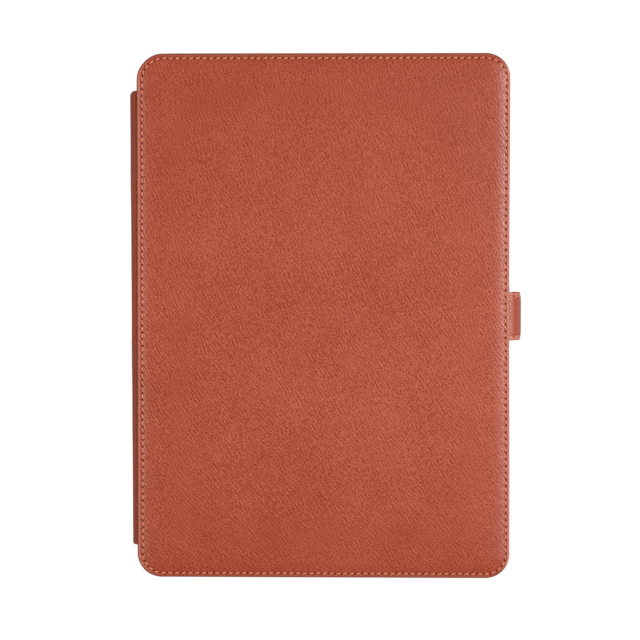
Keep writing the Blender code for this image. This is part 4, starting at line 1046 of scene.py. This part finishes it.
def tab_thickness(run, from_edge):
    """The tab's thickness: padded in the middle, with a groove under the stitches."""
    full = np.interp(run, TAB_PLACES, TAB_THICKS)
    padded = np.clip((from_edge - 0.9 * MM) / (1.6 * MM), 0.0, 1.0)
    padded = padded * padded * (3.0 - 2.0 * padded)
    rim = np.minimum(full, 1.55 * MM)
    groove = 0.12 * MM * np.exp(-(((from_edge - TAB_SEAM_INSET) / (0.4 * MM)) ** 2))
    return rim + (full - rim) * padded - groove


def on_tab(run, across, face):
    """Points on the tab's outer (face 1) or inner (face -1) side, with their normals."""
    centre = point_at(run, TAB_RUN, TAB_PATH)
    normal = point_at(run, TAB_RUN, TAB_NORMAL)
    from_side = tab_half_width(run) - np.abs(across)
    from_edge = np.minimum(from_side, TAB_LENGTH - run)
    lift = face * tab_thickness(run, from_edge) / 2.0
    flat = centre + normal * lift[:, None]
    points = np.column_stack([flat[:, 0], TAB_MIDDLE + across, flat[:, 1]])
    normals = np.column_stack([normal[:, 0] * face, np.zeros(len(run)), normal[:, 1] * face])
    return points, normals


def tab_shares():
    """Places across the tab, from edge to edge, close together at its seams."""
    by_the_seam = np.array([-1.0, -0.97, -0.92, -0.87, -0.83, -0.78, -0.7])
    half = np.concatenate([by_the_seam, np.linspace(-0.6, 0.0, 5)])
    return np.concatenate([half, -half[-2::-1]])


def tab_stations():
    """Places along the tab, close together round its free end."""
    rounding = np.sin(np.linspace(0.0, QUARTER, 12)[1:])
    straight = TAB_LENGTH - TAB_CORNER
    runs = np.concatenate([np.linspace(0.0, straight, 56), straight + TAB_CORNER * rounding])
    runs[-1] -= 0.02 * MM
    return runs


def tab_row(run, share, face):
    """One row across a face, rounded over at its edges, with its sewing and surface layers."""
    half = float(tab_half_width(np.array([run]))[0])
    across = share * half
    along = np.full(len(share), run)
    points, _ = on_tab(along, across, face)
    tucked, _ = on_tab(along, across, 0.55 * face)
    at_edge = np.abs(share) > 0.999
    points[at_edge] = tucked[at_edge]
    from_edge = np.minimum(half - np.abs(across), TAB_LENGTH - run)
    sewing = np.column_stack([along, np.maximum(from_edge, 0.0)])
    return points, sewing, np.column_stack([across, along])


def tab_strap():
    """Two leathers sewn back to back, as one closed skin with rounded edges."""
    share = tab_shares()
    runs = tab_stations()
    rows = []
    for run in runs:
        rows.append(tab_row(run, share, 1.0))
        rows.append(tab_row(run, share[::-1], -1.0))
    vertices, sewing, surface = (np.concatenate(layer) for layer in zip(*rows))
    ring = 2 * len(share)
    faces = [(a, d, c, b) for a, b, c, d in tube_faces(len(runs), ring)]
    last = (len(runs) - 1) * ring
    faces.append(tuple(range(ring)))
    faces.append(tuple(last + k for k in reversed(range(ring))))
    corners = [corner for face in faces for corner in face]
    layers = {"sewing": sewing[corners], "surface": surface[corners]}
    return dress(make_mesh("closure_tab_strap", vertices, faces, **layers), TAB_HIDE)


def tab_seam_line():
    """The seam's places along and across the tab: down a side, round its end and back."""
    turn = TAB_LENGTH - TAB_CORNER
    radius = TAB_CORNER - TAB_SEAM_INSET
    side = TAB_HALF - TAB_SEAM_INSET
    corner = np.linspace(0.0, QUARTER, 12)
    down = np.linspace(2.1 * MM, turn, 60)
    arc_run = turn + radius * np.sin(corner)
    arc_side = side - radius + radius * np.cos(corner)
    end_side = np.linspace(side - radius, -(side - radius), 30)[1:-1]
    end_run = np.full(len(end_side), arc_run[-1])
    straight = np.full(len(down), side)
    run = np.concatenate([down, arc_run[1:], end_run, arc_run[::-1], down[-2::-1]])
    across = np.concatenate([straight, arc_side[1:], end_side, -arc_side[::-1], -straight[1:]])
    return run, across


def tab_seam(name, face):
    """The stitches down both sides and across the free end, on one face."""
    run, across = tab_seam_line()
    lengths = distances(np.column_stack([run, across]))
    count = round(lengths[-1] / PITCH)
    tracks = []
    normals = []
    for index in range(count):
        where = (index + 0.1 + 0.8 * STITCH) * lengths[-1] / count
        places = np.interp(where, lengths, run), np.interp(where, lengths, across)
        points, out = on_tab(*places, face)
        tracks.append(points + out * ((-0.36 + 0.56 * ARCH) * MM)[:, None])
        normals.append(out[len(out) // 2])
    return dress(thread_mesh(name, tracks, normals), THREAD)


def build_tab():
    """The closure tab, which bends where it leaves the front cover."""
    strap = tab_strap()
    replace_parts(strap, "closure_tab_root", "closure_tab_outer", "closure_tab_inner")
    outside = tab_seam("closure_tab_stitches", 1.0)
    inside = tab_seam("closure_tab_inner_stitches", -1.0)
    for piece in (strap, outside, inside):
        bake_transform(piece)


# ---- floor, light, camera


def floor():
    """A white sweep, below the lowest place that the front cover folds round to."""
    lowest = 2.0 * BACK_FOLD[2] - COVER_HIGH[2]
    bpy.ops.mesh.primitive_plane_add(size=6.0, location=(0.0, 0.0, lowest - 0.1 * MM))
    plane = bpy.context.object
    plane.name = "floor"
    look = Look("floor")
    colour = look.mix(look.noise(look.place(), 3.0), (0.23, 0.23, 0.23), (0.25, 0.25, 0.25))
    seen = look.add("LightPath").outputs["Is Camera Ray"]
    glow = look.math("MULTIPLY_ADD", seen, 0.4, 0.5)  # brighter to the eye than it lights
    look.set(Base_Color=colour, Roughness=0.9, Specular_IOR_Level=0.0)
    dress(plane, look.set(Emission_Color=(1.0, 1.0, 1.0, 1.0), Emission_Strength=glow))


def softbox(name, location, size, power, tint):
    """A rectangular light that faces the folio."""
    light = bpy.data.lights.new(name, "AREA")
    light.shape = "RECTANGLE"
    light.size, light.size_y = size
    light.energy = power
    light.color = tint
    lamp = add_object(name, light)
    lamp.location = location
    lamp.rotation_euler = (-lamp.location).to_track_quat("-Z", "Y").to_euler()


def studio():
    """A strong softbox at the right, a weak warm one at the left, and a dim white room."""
    world = bpy.data.worlds.new("studio")
    bpy.context.scene.world = world
    world.use_nodes = True
    background = world.node_tree.nodes["Background"]
    background.inputs["Color"].default_value = (1.0, 1.0, 1.0, 1.0)
    background.inputs["Strength"].default_value = 0.28
    softbox("left_softbox", (-0.72, 0.0, 0.6), (0.3, 0.45), 3.0, (1.0, 0.93, 0.84))
    softbox("right_softbox", (0.92, 0.24, 1.15), (0.42, 0.56), 17.1, (1.0, 0.97, 0.98))
    bpy.context.scene.view_settings.view_transform = "Standard"


def camera():
    """Above the folio, a little towards its top right corner."""
    distance = 1.2
    view_width = 246.8 * MM
    data = bpy.data.cameras.new("camera")
    data.sensor_width = 36.0
    data.lens = data.sensor_width * distance / view_width
    data.clip_end = 100.0
    obj = add_object("camera", data)
    obj.rotation_euler = (math.radians(-2.3), math.radians(2.05), 0.0)
    aim = Vector((-1.18 * MM, -1.46 * MM, COVER_HIGH[2] - CROWN))
    obj.location = aim + obj.rotation_euler.to_matrix() @ Vector((0.0, 0.0, distance))
    bpy.context.scene.camera = obj


dress_frame()
build_cover("front_cover", FRONT_MID, 1.0, 0.4 * MM)
build_cover("back_cover", BACK_MID, -1.0, 0.0)
build_spine()
build_tab()
floor()
studio()
camera()
